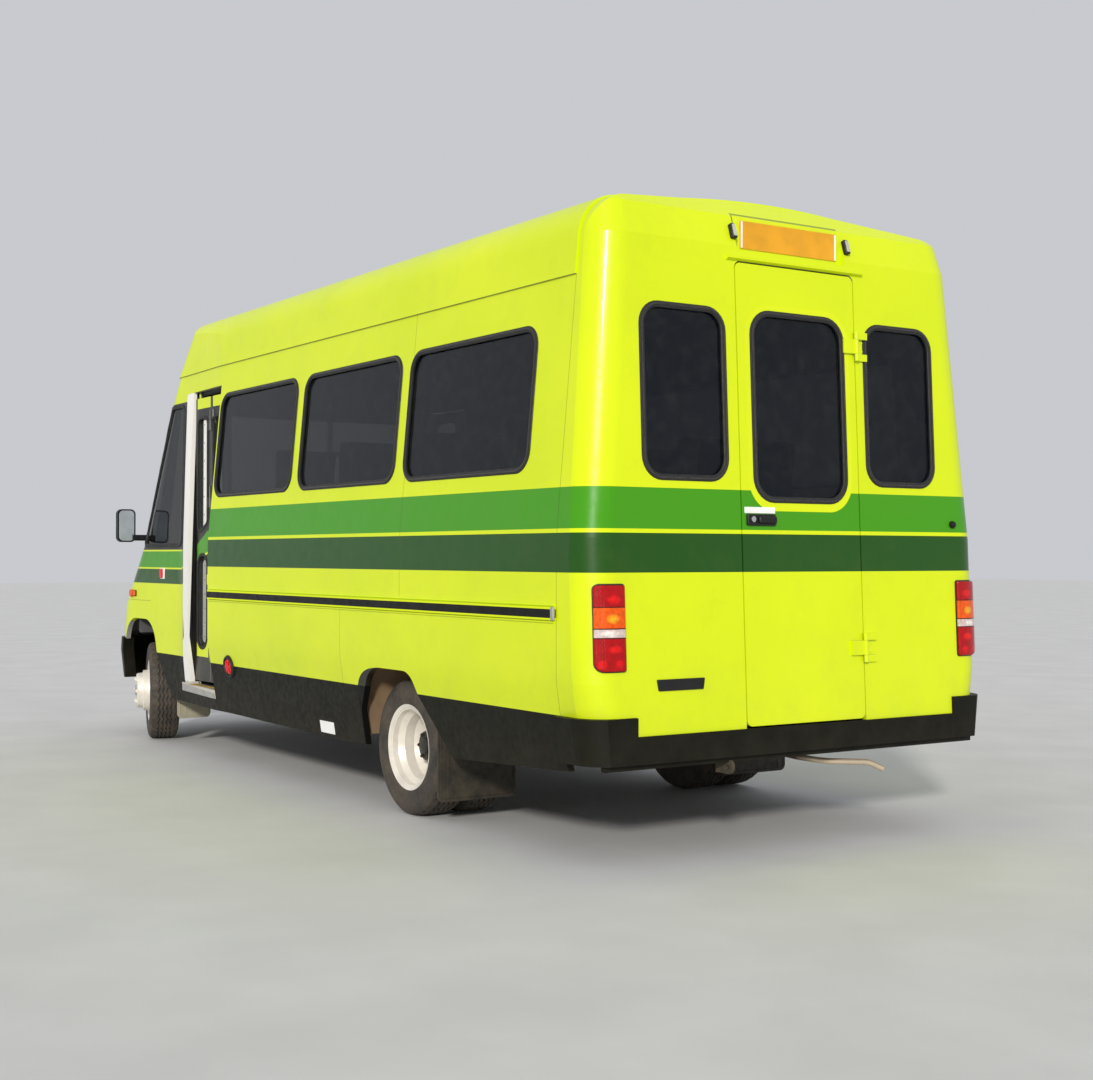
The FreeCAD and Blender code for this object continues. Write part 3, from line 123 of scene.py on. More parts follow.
class Nodes:
    """Short hand for building a material's node tree."""

    def __init__(self, name):
        self.mat = bpy.data.materials.new(name)
        self.mat.use_nodes = True
        self.tree = self.mat.node_tree
        self.shader = self.tree.nodes["Principled BSDF"]
        self.place = self.add("ShaderNodeTexCoord").outputs["Object"]

    def add(self, kind, inputs=(), **values):
        """A node with its settings, its inputs set to constants or linked to outputs."""
        node = self.tree.nodes.new(kind)
        for key, value in values.items():
            setattr(node, key, value)
        for key, value in dict(inputs).items():
            self.feed(node.inputs[key], value)
        return node

    def feed(self, socket, value):
        """Sets an input to a constant, or links an output to it."""
        if isinstance(value, (int, float, tuple)):
            socket.default_value = value
        else:
            self.tree.links.new(value, socket)

    def noise(self, scale, detail=3.0, rough=0.5):
        """Cloudy noise that stays put on the part."""
        inputs = {"Scale": scale, "Detail": detail, "Roughness": rough, "Vector": self.place}
        return self.add("ShaderNodeTexNoise", inputs).outputs["Fac"]

    def spread(self, value, low, high, out_low, out_high):
        """Carries a range of values over to another, and stops at its ends."""
        inputs = {"Value": value, "From Min": low, "From Max": high, "To Min": out_low, "To Max": out_high}
        return self.add("ShaderNodeMapRange", inputs).outputs["Result"]

    def uneven(self, scale, detail, low, high):
        """A value that wanders from place to place between two limits."""
        return self.spread(self.noise(scale, detail), 0.3, 0.7, low, high)

    def math(self, kind, a, b=0.5):
        """One step of arithmetic on numbers or outputs."""
        return self.add("ShaderNodeMath", {0: a, 1: b}, operation=kind).outputs[0]

    def times(self, a, b):
        return self.math("MULTIPLY", a, b)

    def above(self, value, limit):
        return self.math("GREATER_THAN", value, limit)

    def below(self, value, limit):
        return self.math("LESS_THAN", value, limit)

    def mix(self, factor, a, b):
        """Goes from one colour to another while the factor goes from nought to one."""
        return self.add("ShaderNodeMix", {0: factor, 6: a, 7: b}, data_type="RGBA").outputs[2]

    def axis(self, letter):
        """X, Y or Z in the part's frame."""
        return self.add("ShaderNodeSeparateXYZ", {0: self.place}).outputs[letter]

    def band(self, value, low, high):
        """One between two limits and nought outside them."""
        return self.times(self.above(value, low), self.below(value, high))

    def dappled(self, scale, detail, first, second):
        """Two colours in uneven patches."""
        return self.mix(self.uneven(scale, detail, 0.0, 1.0), first, second)

    def inward(self, centre=(-0.4, 0.0, 1.45)):
        """One on faces that look towards the middle of the body, but not in the plate's recess."""
        normal = self.add("ShaderNodeTexCoord").outputs["Normal"]
        arm = self.add("ShaderNodeVectorMath", {0: self.place, 1: centre}, operation="SUBTRACT").outputs[0]
        along = self.add("ShaderNodeVectorMath", {0: arm, 1: normal}, operation="DOT_PRODUCT")
        faces_in = self.below(along.outputs["Value"], -0.6)
        behind = self.below(self.axis("X"), RECESS_FRONT_X)
        recess = self.times(behind, self.above(self.axis("Z"), RECESS_FLOOR_Z))
        return self.times(faces_in, self.math("SUBTRACT", 1.0, recess))

    def bump(self, height, strength, distance):
        """Grains the surface."""
        node = self.add("ShaderNodeBump", {"Strength": strength, "Distance": distance, "Height": height})
        self.set(Normal=node.outputs["Normal"])

    def set(self, **values):
        """Feeds the surface; the names of its inputs are written with underscores."""
        for key, value in values.items():
            self.feed(self.shader.inputs[key.replace("_", " ")], value)


def dusty(n, colour, dust=srgb(150, 135, 105), amount=0.35, top=0.75):
    """Road dust that thickens towards the ground."""
    low = n.spread(n.axis("Z"), 0.15, top, amount, 0.0)
    patch = n.spread(n.noise(9.0, 5.0, 0.65), 0.35, 0.7, 0.25, 1.0)
    return n.mix(n.times(low, patch), colour, dust)


LIME_TONES = (srgb(222, 238, 8), srgb(213, 232, 5))
MID_GREEN, DARK_GREEN, PAINT_BLACK = srgb(66, 152, 0), srgb(26, 78, 4), srgb(9, 9, 10)
LINING = srgb(150, 150, 146)


def striped(n, base):
    """The two greens with the thin lime line between them, stepping down from the saloon to the cab."""
    x, z = n.axis("X"), n.axis("Z")
    edges = [n.spread(x, SLOPE_FROM_X, SLOPE_TO_X, saloon, cab) for saloon, cab in STRIPE_EDGES]
    for upper, lower, colour in ((edges[0], edges[1], MID_GREEN), (edges[2], edges[3], DARK_GREEN)):
        inside = n.times(n.below(z, upper), n.above(z, lower))
        base = n.mix(inside, base, colour)
    return base


def seams(n, base):
    """Butt joints of the side's panels and of the rear corner moulding."""
    x, z = n.axis("X"), n.axis("Z")
    for at_x, low, high in SEAMS:
        line = n.times(n.band(x, at_x - SEAM_HALF, at_x + SEAM_HALF), n.band(z, low, high))
        base = n.mix(n.times(line, 0.55), base, srgb(60, 75, 10))
    return base


def arch_painted_shadow(n, base):
    """Painted shadow round the rear wheel arch: black where the arch's shaded opening reaches past the
    modelled arch.
    """
    off = [n.math("ABSOLUTE", n.math("SUBTRACT", n.axis(letter), middle))
           for letter, middle in zip("XZ", ARCH_MIDDLE)]
    off[1] = n.times(n.above(n.axis("Z"), ARCH_MIDDLE[1]), off[1])
    parts = [n.math("POWER", n.math("DIVIDE", part, reach), ARCH_POWER)
             for part, reach in zip(off, ARCH_REACH)]
    inside = n.below(n.math("ADD", parts[0], parts[1]), 1.0)
    return n.mix(inside, base, srgb(10, 10, 9))


def rail_holder(n, base):
    """The lime aluminium holder above and below the rub rail's black strip."""
    return n.mix(n.band(n.axis("Z"), *RAIL_STRIP), LIME_TONES[0], base)


def recess_shade(n, base):
    """The shadow at the top and the left of the number plate's recess."""
    y, z = n.axis("Y"), n.axis("Z")
    top = n.times(n.band(z, RECESS_Z[1] - RECESS_SHADE[0], RECESS_Z[1]), n.band(y, *RECESS_Y))
    left = n.times(n.band(y, RECESS_Y[1] - RECESS_SHADE[1], RECESS_Y[1]), n.band(z, *RECESS_Z))
    back = n.below(n.axis("X"), RECESS_FRONT_X)
    shade = n.times(n.math("MAXIMUM", top, left), back)
    return n.mix(n.times(shade, 0.7), base, srgb(74, 96, 8))


def bordered(n, base):
    """The lime border that keeps the stripe clear of the emergency door's window."""
    low_y, high_y, low_z, high_z, radius = DOOR_WINDOW
    reach = []
    for letter, low, high in (("Y", low_y, high_y), ("Z", low_z, high_z)):
        off = n.math("ABSOLUTE", n.math("SUBTRACT", n.axis(letter), (low + high) / 2))
        reach.append(n.math("MAXIMUM", n.math("SUBTRACT", off, (high - low) / 2 - radius), 0.0))
    square = [n.times(r, r) for r in reach]
    far = n.math("SQRT", n.math("ADD", square[0], square[1]))
    return n.mix(n.below(far, radius + BORDER_WIDE), base, LIME_TONES[0])


def cab_black(n, base):
    """Black round the cab's windows, and a painted shade line in the crease over the wing."""
    x, z = n.axis("X"), n.axis("Z")
    black = n.times(n.band(z, *CAB_BLACK_Z), n.band(x, *CAB_BLACK_X))
    crease_shade = n.times(n.band(z, *CREASE_SHADE_Z), n.band(x, *CREASE_SHADE_X))
    # A darker line along the crease over the wing: painted shade.
    base = n.mix(n.times(crease_shade, 0.5), base, srgb(70, 90, 5))
    return n.mix(black, base, PAINT_BLACK)


def leaf_black(n, base):
    """Black frame of a door leaf's upper pane, its edges, its head and its kick panel."""
    x, z = n.axis("X"), n.axis("Z")
    for edge in LEAF_REAR_EDGES.values():
        rear, front = (edge + off for off in LEAF_SHOULDER_X)
        over = n.above(z, n.spread(x, rear, front, *LEAF_SHOULDER_Z))
        pane = n.times(n.band(x, edge - 0.003, edge + 0.24), n.below(z, LEAF_BLACK_TOP_Z))
        base = n.mix(n.times(pane, over), base, PAINT_BLACK)
        for low, high in ((edge - 0.002, edge + 0.006), (edge + 0.212, edge + 0.24)):
            base = n.mix(n.band(x, low, high), base, PAINT_BLACK)
    return n.mix(n.below(z, LEAF_KICK_Z), base, srgb(26, 27, 28))


def painted(name, *layers, lined=True):
    """Gloss lime paint under layers of other colours, with the grey lining on faces that look inwards."""
    n = Nodes(name)
    base = n.dappled(1.6, 2.0, *LIME_TONES)
    for layer in layers:
        base = layer(n, base)
    grime = n.spread(n.noise(5.0, 6.0, 0.7), 0.5, 0.8, 0.0, 0.08)
    base = n.mix(grime, base, srgb(120, 125, 60))
    base = dusty(n, base, amount=0.16, top=0.95)
    if lined:
        base = n.mix(n.inward(), base, LINING)
    n.set(Base_Color=base, Specular_IOR_Level=0.3, Coat_Weight=0.15, Coat_Roughness=0.05)
    n.set(Roughness=n.uneven(14.0, 4.0, 0.28, 0.40))
    n.bump(n.noise(220.0, 2.0), 0.03, 0.0006)
    return n.mat


def textured(name, colour, rough=0.62, scale=420.0, strength=0.35, dust=0.5, top=0.7, layers=(), shine=0.35):
    """Grained plastic with dust settled low down, under layers of other colours."""
    n = Nodes(name)
    base = n.dappled(7.0, 4.0, colour, shaded(colour, 1.5))
    base = dusty(n, base, amount=dust, top=top)
    for layer in layers:
        base = layer(n, base)
    n.set(Base_Color=base, Specular_IOR_Level=shine)
    n.set(Roughness=n.uneven(30.0, 3.0, rough - 0.08, rough + 0.1))
    n.bump(n.noise(scale, 3.0), strength, 0.0008)
    return n.mat


def metal(name, colour, rough=0.35, metallic=1.0, dust=0.2, top=0.6, grain=60.0):
    """Painted or bare metal with uneven gloss."""
    n = Nodes(name)
    base = n.dappled(12.0, 5.0, colour, shaded(colour, 0.82))
    n.set(Base_Color=dusty(n, base, amount=dust, top=top), Metallic=metallic)
    n.set(Roughness=n.spread(n.noise(grain, 4.0), 0.3, 0.7, rough - 0.08, rough + 0.12))
    n.bump(n.noise(grain * 4, 2.0), 0.08, 0.0005)
    return n.mat


def rubber(name, colour=srgb(24, 24, 25), rough=0.55):
    """Extruded or moulded rubber."""
    n = Nodes(name)
    n.set(Base_Color=n.dappled(25.0, 3.0, colour, srgb(38, 38, 38)))
    n.set(Roughness=n.uneven(60.0, 3.0, rough - 0.08, rough + 0.12))
    n.bump(n.noise(350.0, 2.0), 0.15, 0.0004)
    return n.mat


def glass(name, colour, alpha, rough=0.02, masked=False):
    """A tinted pane with a faint film of dust; masked panes are black where the cab's pillars pass."""
    n = Nodes(name)
    film = n.spread(n.noise(18.0, 5.0, 0.7), 0.45, 0.8, 0.0, 0.06)
    base = n.mix(film, colour, srgb(130, 130, 120))
    clear = n.spread(film, 0.0, 0.06, alpha, min(1.0, alpha + 0.04))
    if masked:
        x, z = n.axis("X"), n.axis("Z")
        front = n.spread(z, *SIDE_PANE_Z, *SIDE_PANE_FRONT)
        rear = n.spread(z, *SIDE_PANE_Z, *SIDE_PANE_REAR)
        shows = n.times(n.below(x, front), n.above(x, rear))
        solid = n.times(n.above(x, 1.4), n.math("SUBTRACT", 1.0, shows))
        base = n.mix(solid, base, PAINT_BLACK)
        clear = n.math("MAXIMUM", clear, solid)
    n.set(Base_Color=base, Alpha=clear)
    n.set(Roughness=n.uneven(6.0, 3.0, rough, rough + 0.03))
    n.set(Specular_IOR_Level=0.3, IOR=1.5)
    return n.mat


def lens(name, colour, alpha=0.9):
    """Moulded lamp lens with fine upright ribs."""
    n = Nodes(name)
    n.set(Base_Color=n.dappled(30.0, 2.0, colour, shaded(colour, 0.85)), Alpha=alpha, Roughness=0.2)
    n.set(Specular_IOR_Level=0.35, Coat_Weight=0.2, Coat_Roughness=0.03)
    inputs = {"Scale": 55.0, "Distortion": 0.0, "Vector": n.place}
    wave = n.add("ShaderNodeTexWave", inputs, bands_direction="Y")
    n.bump(wave.outputs["Fac"], 0.5, 0.0015)
    return n.mat


def cloth(name, colour, fleck):
    """Woven moquette with a small fleck."""
    n = Nodes(name)
    weave = n.add("ShaderNodeTexVoronoi", {"Scale": 160.0, "Vector": n.place})
    spots = n.below(weave.outputs["Distance"], 0.28)
    base = n.dappled(5.0, 4.0, colour, shaded(colour, 0.7))
    n.set(Base_Color=n.mix(n.times(spots, 0.6), base, fleck), Roughness=0.9)
    n.set(Sheen_Weight=0.3)
    n.bump(n.noise(700.0, 3.0), 0.5, 0.0012)
    return n.mat


def lamp_lens(name, segments, bulbs, dark=0.25):
    """A tail lamp's lens: coloured segments from the top down, dark lines between them, pillow optics."""
    n = Nodes(name)
    z = n.axis("Z")
    base = segments[0][1]
    for low, colour in segments:
        base = n.mix(n.below(z, low), base, colour)
        base = n.mix(n.band(z, low - 0.0022, low + 0.0022), base, srgb(60, 8, 6))
    cells = n.add("ShaderNodeTexChecker", {"Scale": 110.0, "Vector": n.place})
    y = n.math("ABSOLUTE", n.axis("Y"))
    for bulb_y, bulb_z, reach, colour in bulbs:
        across = n.math("DIVIDE", n.math("SUBTRACT", y, bulb_y), reach[0])
        along = n.math("DIVIDE", n.math("SUBTRACT", z, bulb_z), reach[1])
        far = n.math("ADD", n.times(across, across), n.times(along, along))
        base = n.mix(n.spread(far, 0.0, 1.0, 0.85, 0.0), base, colour)
    shade = n.spread(n.noise(60.0, 2.0), 0.4, 0.65, 0.0, dark)
    base = n.mix(shade, base, srgb(60, 2, 2))
    n.set(Base_Color=base, Roughness=0.25, Specular_IOR_Level=0.25, Coat_Weight=0.15, Coat_Roughness=0.03)
    n.bump(cells.outputs["Fac"], 0.25, 0.0008)
    return n.mat


def tyre_rubber(name):
    """Worn tyre rubber, brown with road dust in the tread and on the walls."""
    n = Nodes(name)
    base = n.dappled(18.0, 4.0, srgb(36, 34, 33), srgb(52, 49, 46))
    dust = n.spread(n.noise(7.0, 6.0, 0.7), 0.35, 0.75, 0.05, 0.5)
    n.set(Base_Color=n.mix(dust, base, srgb(122, 108, 90)))
    n.set(Roughness=n.uneven(60.0, 3.0, 0.6, 0.85))
    n.bump(n.noise(260.0, 3.0), 0.3, 0.0006)
    return n.mat


def flap(name):
    """Black flaps at the back and dusty, paler ones at the front."""
    n = Nodes(name)
    ahead = n.above(n.axis("X"), 0.0)
    base = n.mix(ahead, srgb(34, 32, 24), srgb(172, 166, 144))
    base = n.mix(n.spread(n.noise(12.0, 5.0, 0.65), 0.35, 0.75, 0.0, 0.25), base, srgb(128, 114, 92))
    n.set(Base_Color=base, Roughness=n.uneven(40.0, 3.0, 0.5, 0.75))
    n.bump(n.noise(300.0, 3.0), 0.2, 0.0006)
    return n.mat


def pipe_metal(name):
    """Rusty pipe that turns bright towards its tip."""
    n = Nodes(name)
    tip = n.spread(n.axis("X"), -2.78, -2.84, 0.0, 1.0)
    rust = n.mix(n.spread(n.noise(18.0, 5.0, 0.6), 0.35, 0.65, 0.0, 1.0), srgb(92, 66, 48), srgb(58, 50, 46))
    n.set(Base_Color=n.mix(tip, rust, srgb(214, 196, 170)), Metallic=0.5)
    n.set(Roughness=n.uneven(40.0, 3.0, 0.35, 0.6))
    n.bump(n.noise(160.0, 3.0), 0.3, 0.0006)
    return n.mat


def door_frame(name):
    """White pillar with its black inner rubber, the dark header board and the pale sill."""
    n = Nodes(name)
    x, y, z = n.axis("X"), n.axis("Y"), n.axis("Z")
    tucked, leaning = n.spread(z, 0.45, 0.70, 0.950, 0.985), n.spread(z, 0.70, 2.15, 0.985, 0.942)
    outside = n.above(y, n.math("MINIMUM", tucked, leaning))
    white = n.times(outside, n.above(x, FRAME_PILLAR_X))
    base = n.mix(white, srgb(20, 19, 18), srgb(248, 246, 240))
    base = n.mix(n.below(z, FRAME_SILL_Z), base, srgb(206, 202, 190))
    base = n.mix(n.above(z, FRAME_HEADER_Z), base, srgb(44, 38, 30))
    n.set(Base_Color=dusty(n, base, amount=0.12), Roughness=n.uneven(20.0, 3.0, 0.34, 0.5))
    return n.mat


# The saloon's sides carry the painted shadow round the rear wheel arch and the painted shade in the plate's
# recess.
LIME = painted("lime_saloon", striped, seams, arch_painted_shadow, recess_shade)
LIME_DOOR = painted("lime_rear_door", striped, bordered)
LIME_CAB = painted("lime_cab", striped, cab_black)
LIME_LEAF = painted("lime_leaf", striped, leaf_black)
LIME_PLAIN = painted("lime_plain")
LIME_TRIM = painted("lime_trim", lined=False)
# The skirts carry the painted shadow round the rear wheel arch as well.
BLACK = textured("black_moulding", srgb(13, 14, 8), layers=(arch_painted_shadow,), rough=0.5, dust=0.07, shine=0.16)
RAIL = textured("rail_strip", srgb(13, 14, 8), layers=(rail_holder,), rough=0.45, dust=0.05, shine=0.2)
FLAP = flap("mudflap_rubber")
LINER = textured("arch_liner", srgb(126, 102, 78), rough=0.85, scale=90.0, strength=0.6, dust=0.4, top=0.9)
BLACK_FINE = textured("black_trim", srgb(22, 22, 24), rough=0.45, scale=700.0, strength=0.15, dust=0.12)
RUBBER = rubber("window_rubber")
FILLER = rubber("rubber_filler", srgb(66, 60, 56), rough=0.3)
TYRE = tyre_rubber("tyre_rubber")
GLASS = glass("tinted_glass", srgb(10, 16, 24), 0.72, masked=True)
GLASS_CLEAR = glass("clear_glass", srgb(40, 48, 48), 0.45)
STEEL = metal("dull_steel", srgb(96, 94, 90), rough=0.5)
PIPE = pipe_metal("tail_pipe")
UNDER = textured("underseal", srgb(28, 27, 26), rough=0.7, scale=120.0, strength=0.5, dust=0.55, top=0.9)
SILVER = metal("silver_wheel", srgb(246, 240, 228), rough=0.36, metallic=0.15, dust=0.15)
CHROME = metal("bright_chrome", srgb(225, 225, 225), rough=0.14, dust=0.1)
MIRROR = metal("mirror_silver", srgb(196, 206, 214), rough=0.1, metallic=0.3, dust=0.0)
PILLAR = metal("white_pillar", srgb(248, 246, 240), rough=0.38, metallic=0.0, dust=0.05)
FRAME = door_frame("door_frame")
ALLOY = metal("pale_alloy", srgb(196, 194, 188), rough=0.35, metallic=0.6, dust=0.2)
RED = lens("red_lens", srgb(226, 6, 8), alpha=1.0)
AMBER = lens("amber_lens", srgb(240, 100, 8))
CLEAR = lens("clear_lens", srgb(225, 222, 214), alpha=0.75)
# The tail lamp's segments as (top, colour) and its bulbs as (Y, Z, reach, colour).
TAIL = lamp_lens("tail_lamp_lens", [
    (1.072, srgb(176, 2, 10)), (0.989, srgb(240, 92, 4)), (0.908, srgb(216, 196, 190)),
    (0.873, srgb(176, 0, 8)),
], [
    (0.949, 1.018, (0.034, 0.020), srgb(246, 20, 20)), (0.955, 0.945, (0.030, 0.020), srgb(255, 190, 30)),
    (0.968, 0.890, (0.040, 0.014), srgb(255, 250, 240)), (0.949, 0.832, (0.034, 0.018), srgb(246, 24, 20)),
    (1.000, 0.775, (0.022, 0.020), srgb(236, 14, 16)), (0.930, 0.775, (0.022, 0.020), srgb(236, 14, 16)),
])
YELLOW = metal("yellow_plate", srgb(240, 170, 22), rough=0.35, metallic=0.0, dust=0.05)
NOSING = textured("yellow_nosing", srgb(150, 120, 40), rough=0.6, dust=0.4)
WHITE = textured("white_patch", srgb(236, 236, 230), rough=0.45, scale=700.0, strength=0.06, dust=0.1)
CLOTH = cloth("seat_moquette", srgb(40, 52, 64), srgb(130, 150, 60))
FLOOR_VINYL = textured("floor_vinyl", srgb(74, 74, 76), rough=0.7, scale=300.0, dust=0.1)
DASH = textured("dash_plastic", srgb(44, 44, 48), rough=0.6, dust=0.0)


# Meshes.
def piece(name, verts, faces, material, body="body"):
    """A mesh object in the part's frame that rides on a body, smooth between its sharp edges."""
    mesh = bpy.data.meshes.new(name)
    mesh.from_pydata([tuple(v) for v in verts], [], faces)
    mesh.materials.append(material)
    bm = bmesh.new()
    bm.from_mesh(mesh)
    bmesh.ops.recalc_face_normals(bm, faces=bm.faces)
    bm.to_mesh(mesh)
    bm.free()
    obj = bpy.data.objects.new(name, mesh)
    bpy.context.scene.collection.objects.link(obj)
    mesh.polygons.foreach_set("use_smooth", [True] * len(mesh.polygons))
    mesh.set_sharp_from_angle(angle=math.radians(35.0))
    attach(obj, body)
    return obj


class Shape:
    """Collects several simple forms into one mesh."""

    def __init__(self):
        self.verts, self.faces = [], []

    def add(self, verts, faces):
        start = len(self.verts)
        self.verts += [Vector(v) for v in verts]
        self.faces += [tuple(start + i for i in face) for face in faces]

    def grid(self, rows, close_u=False, close_v=False, caps=False):
        """Quads over rows of points; rows may close on themselves."""
        n, m = len(rows), len(rows[0])
        faces = []
        for i in range(n if close_u else n - 1):
            for j in range(m if close_v else m - 1):
                a, b = (i + 1) % n, (j + 1) % m
                faces.append((i * m + j, i * m + b, a * m + b, a * m + j))
        if caps:
            faces.append(tuple(range(m)))
            faces.append(tuple((n - 1) * m + j for j in reversed(range(m))))
        self.add([p for row in rows for p in row], faces)

    def lathe(self, profile, count, matrix):
        """A closed profile of (along, radius) turned about the local Y axis."""
        rows = []
        for i in range(count):
            t = 2 * math.pi * i / count
            rows.append([matrix @ Vector((r * math.sin(t), a, r * math.cos(t))) for a, r in profile])
        self.grid(rows, close_u=True, close_v=True)

    def bar(self, points, radius, count=10):
        """A round bar through points, of one radius or of one for each point."""
        points = [Vector(p) for p in points]
        rows = []
        for i, p in enumerate(points):
            ahead = points[min(i + 1, len(points) - 1)] - points[max(i - 1, 0)]
            ahead.normalize()
            side = ahead.orthogonal().normalized() if i == 0 else side
            side = (side - ahead * side.dot(ahead)).normalized()
            up = ahead.cross(side)
            r = radius[i] if isinstance(radius, list) else radius
            turns = [2 * math.pi * j / count for j in range(count)]
            rows.append([p + side * (r * math.cos(t)) + up * (r * math.sin(t)) for t in turns])
        self.grid(rows, close_v=True, caps=True)

    def block(self, low, high, bevel):
        """A box with its edges taken off."""
        bm = bmesh.new()
        bmesh.ops.create_cube(bm, size=1.0)
        low, high = Vector(low), Vector(high)
        for v in bm.verts:
            v.co = Vector([low[i] + (v.co[i] + 0.5) * (high[i] - low[i]) for i in range(3)])
        bmesh.ops.bevel(bm, geom=list(bm.edges), offset=bevel, segments=2, affect="EDGES", profile=0.6)
        bm.verts.ensure_lookup_table()
        self.add([v.co for v in bm.verts], [tuple(v.index for v in f.verts) for f in bm.faces])
        bm.free()

    def made(self, name, material, body="body", slot=None):
        return piece(name, self.verts, self.faces, material, body)


def rounded(corners, steps=7):
    """Points of a closed outline of corners (a, b, radius)."""
    out = []
    count = len(corners)
    for i in range(count):
        here = Vector(corners[i][:2])
        back = (Vector(corners[i - 1][:2]) - here).normalized()
        on = (Vector(corners[(i + 1) % count][:2]) - here).normalized()
        r = corners[i][2]
        if r <= 0:
            out.append(here)
            continue
        half = back.angle(on) / 2
        centre = here + (back + on).normalized() * (r / math.sin(half))
        start = here + back * (r / math.tan(half)) - centre
        end = here + on * (r / math.tan(half)) - centre
        turn = start.angle_signed(end)
        for j in range(steps + 1):
            t = -turn * j / steps
            out.append(centre + Vector((
                start.x * math.cos(t) - start.y * math.sin(t),
                start.x * math.sin(t) + start.y * math.cos(t),
            )))
    return out


def divided(points, longest):
    """The closed outline with its long runs divided."""
    out = []
    for i, p in enumerate(points):
        q = points[(i + 1) % len(points)]
        parts = max(1, math.ceil((q - p).length / longest))
        out += [p.lerp(q, k / parts) for k in range(parts)]
    return out


def outward(points):
    """Unit vectors that point out of a closed outline."""
    count = len(points)
    area = sum(points[i].cross(points[(i + 1) % count]) for i in range(count))
    sign = 1.0 if area > 0 else -1.0
    out = []
    for i in range(count):
        along = (points[(i + 1) % count] - points[i - 1]).normalized()
        out.append(Vector((along.y, -along.x)) * sign)
    return out


def rect(a0, a1, b0, b1, r):
    """Corners of a rectangle, each with its radius."""
    return [(a0, b0, r), (a1, b0, r), (a1, b1, r), (a0, b1, r)]


TREES = {}


def along_face(plane, way, normal):
    """A direction given in a plane, laid along the face with this normal."""
    a, b = way
    lift = {"xz": Vector((a, 0, b)), "yz": Vector((0, a, b)), "xy": Vector((a, b, 0))}[plane]
    return (lift - normal * lift.dot(normal)).normalized()


def on_skin(node, plane, sign, a, b):
    """Where a line square to a plane meets a node's outer face, and the way out of that face."""
    if node not in TREES:
        mesh = NODES[node].data
        TREES[node] = BVHTree.FromPolygons([v.co for v in mesh.vertices], [p.vertices for p in mesh.polygons])
    if plane == "xz":
        start, ray = Vector((a, 3.0 * sign, b)), Vector((0, -sign, 0))
    elif plane == "yz":
        start, ray = Vector((4.0 * sign, a, b)), Vector((-sign, 0, 0))
    else:
        start, ray = Vector((a, b, 4.0 * sign)), Vector((0, 0, -sign))
    spot, normal, _, _ = TREES[node].ray_cast(start, ray)
    if spot is None:
        return None, None
    if plane == "yz" and sign < 0 and abs(a) < BACK_FLAT_HALF and b < BACK_FLAT_TOP_Z:
        return Vector((tail_x(b), a, b)), Vector((-1.0, 0.0, TAIL_RAKE)).normalized()
    return spot, normal if normal.dot(ray) < 0 else -normal


def seal(name, outline, node, plane, sign, profile, material, body, longest=0.05):
    """A moulding of constant section laid round an opening, on the node's outer face.

    The profile is (outwards along the face, out of the face) from the opening's edge.
    """
    points = divided(rounded(outline), longest)
    ways = outward(points)
    rows = []
    for p, way in zip(points, ways):
        for reach in (0.012, 0.0216, 0.036):
            q = p + way * reach
            spot, normal = on_skin(node, plane, sign, q.x, q.y)
            if spot is not None:
                break
        else:
            continue
        lift = along_face(plane, way, normal)
        rows.append([spot + lift * (a - reach) + normal * h for a, h in profile])
    shape = Shape()
    shape.grid(rows, close_u=True, close_v=True)
    shape.made(name, material, body)


# Camera, floor and light.
SKY_COLOUR, SKY_STRENGTH = (0.93, 0.95, 1.0, 1.0), 0.62
SUN_AT, SUN_COLOUR, SUN_ENERGY, SUN_WIDTH = (-9.0, 7.5, 5.5), (1.0, 0.96, 0.90), 2.4, math.radians(6.0)


def place_camera():
    """Sets the photograph's view."""
    yaw, pitch, roll = (math.radians(turn) for turn in YAW_PITCH_ROLL)
    ahead = Vector((math.cos(pitch) * math.cos(yaw), math.cos(pitch) * math.sin(yaw), math.sin(pitch)))
    right = Vector((math.sin(yaw), -math.cos(yaw), 0.0))
    up = right.cross(ahead)
    right, up = (
        right * math.cos(roll) + up * math.sin(roll),
        up * math.cos(roll) - right * math.sin(roll),
    )
    data = bpy.data.cameras.new("camera")
    data.sensor_width = SENSOR_MM
    data.lens = SENSOR_MM * FOCAL_PX / PHOTO_WIDTH_PX
    data.clip_end = 200.0
    cam = bpy.data.objects.new("camera", data)
    m = Matrix((right, up, -ahead)).transposed().to_4x4()
    m.translation = Vector(EYE)
    cam.matrix_world = m
    bpy.context.scene.collection.objects.link(cam)
    bpy.context.scene.camera = cam


def make_stage(half=60.0):
    """A plain pale floor."""
    n = Nodes("pale_floor")
    n.set(Base_Color=n.dappled(2.0, 3.0, srgb(214, 214, 212), srgb(206, 206, 204)), Roughness=0.8)
    mesh = bpy.data.meshes.new("floor")
    mesh.from_pydata([(-half, -half, 0), (half, -half, 0), (half, half, 0), (-half, half, 0)], [],
                     [(0, 1, 2, 3)])
    mesh.materials.append(n.mat)
    floor = bpy.data.objects.new("floor", mesh)
    bpy.context.scene.collection.objects.link(floor)


def make_light():
    """A soft sky and a low sun behind the left of the camera."""
    world = bpy.data.worlds.new("studio")
    world.use_nodes = True
    back = world.node_tree.nodes["Background"]
    back.inputs["Color"].default_value = SKY_COLOUR
    back.inputs["Strength"].default_value = SKY_STRENGTH
    bpy.context.scene.world = world
    sun = bpy.data.lights.new("key", "SUN")
    sun.energy, sun.color, sun.angle = SUN_ENERGY, SUN_COLOUR, SUN_WIDTH
    lamp = bpy.data.objects.new("key", sun)
    lamp.location = SUN_AT
    lamp.rotation_euler = (Vector((0, 0, 1)) - lamp.location).to_track_quat("-Z", "Y").to_euler()
    bpy.context.scene.collection.objects.link(lamp)


bpy.context.scene.view_settings.view_transform = "Standard"
place_camera()
make_stage()
make_light()


def paint(material, *names):
    """Gives nodes of the part their material."""
    for name in names:
        data = NODES[name].data
        data.materials.clear()
        data.materials.append(material)


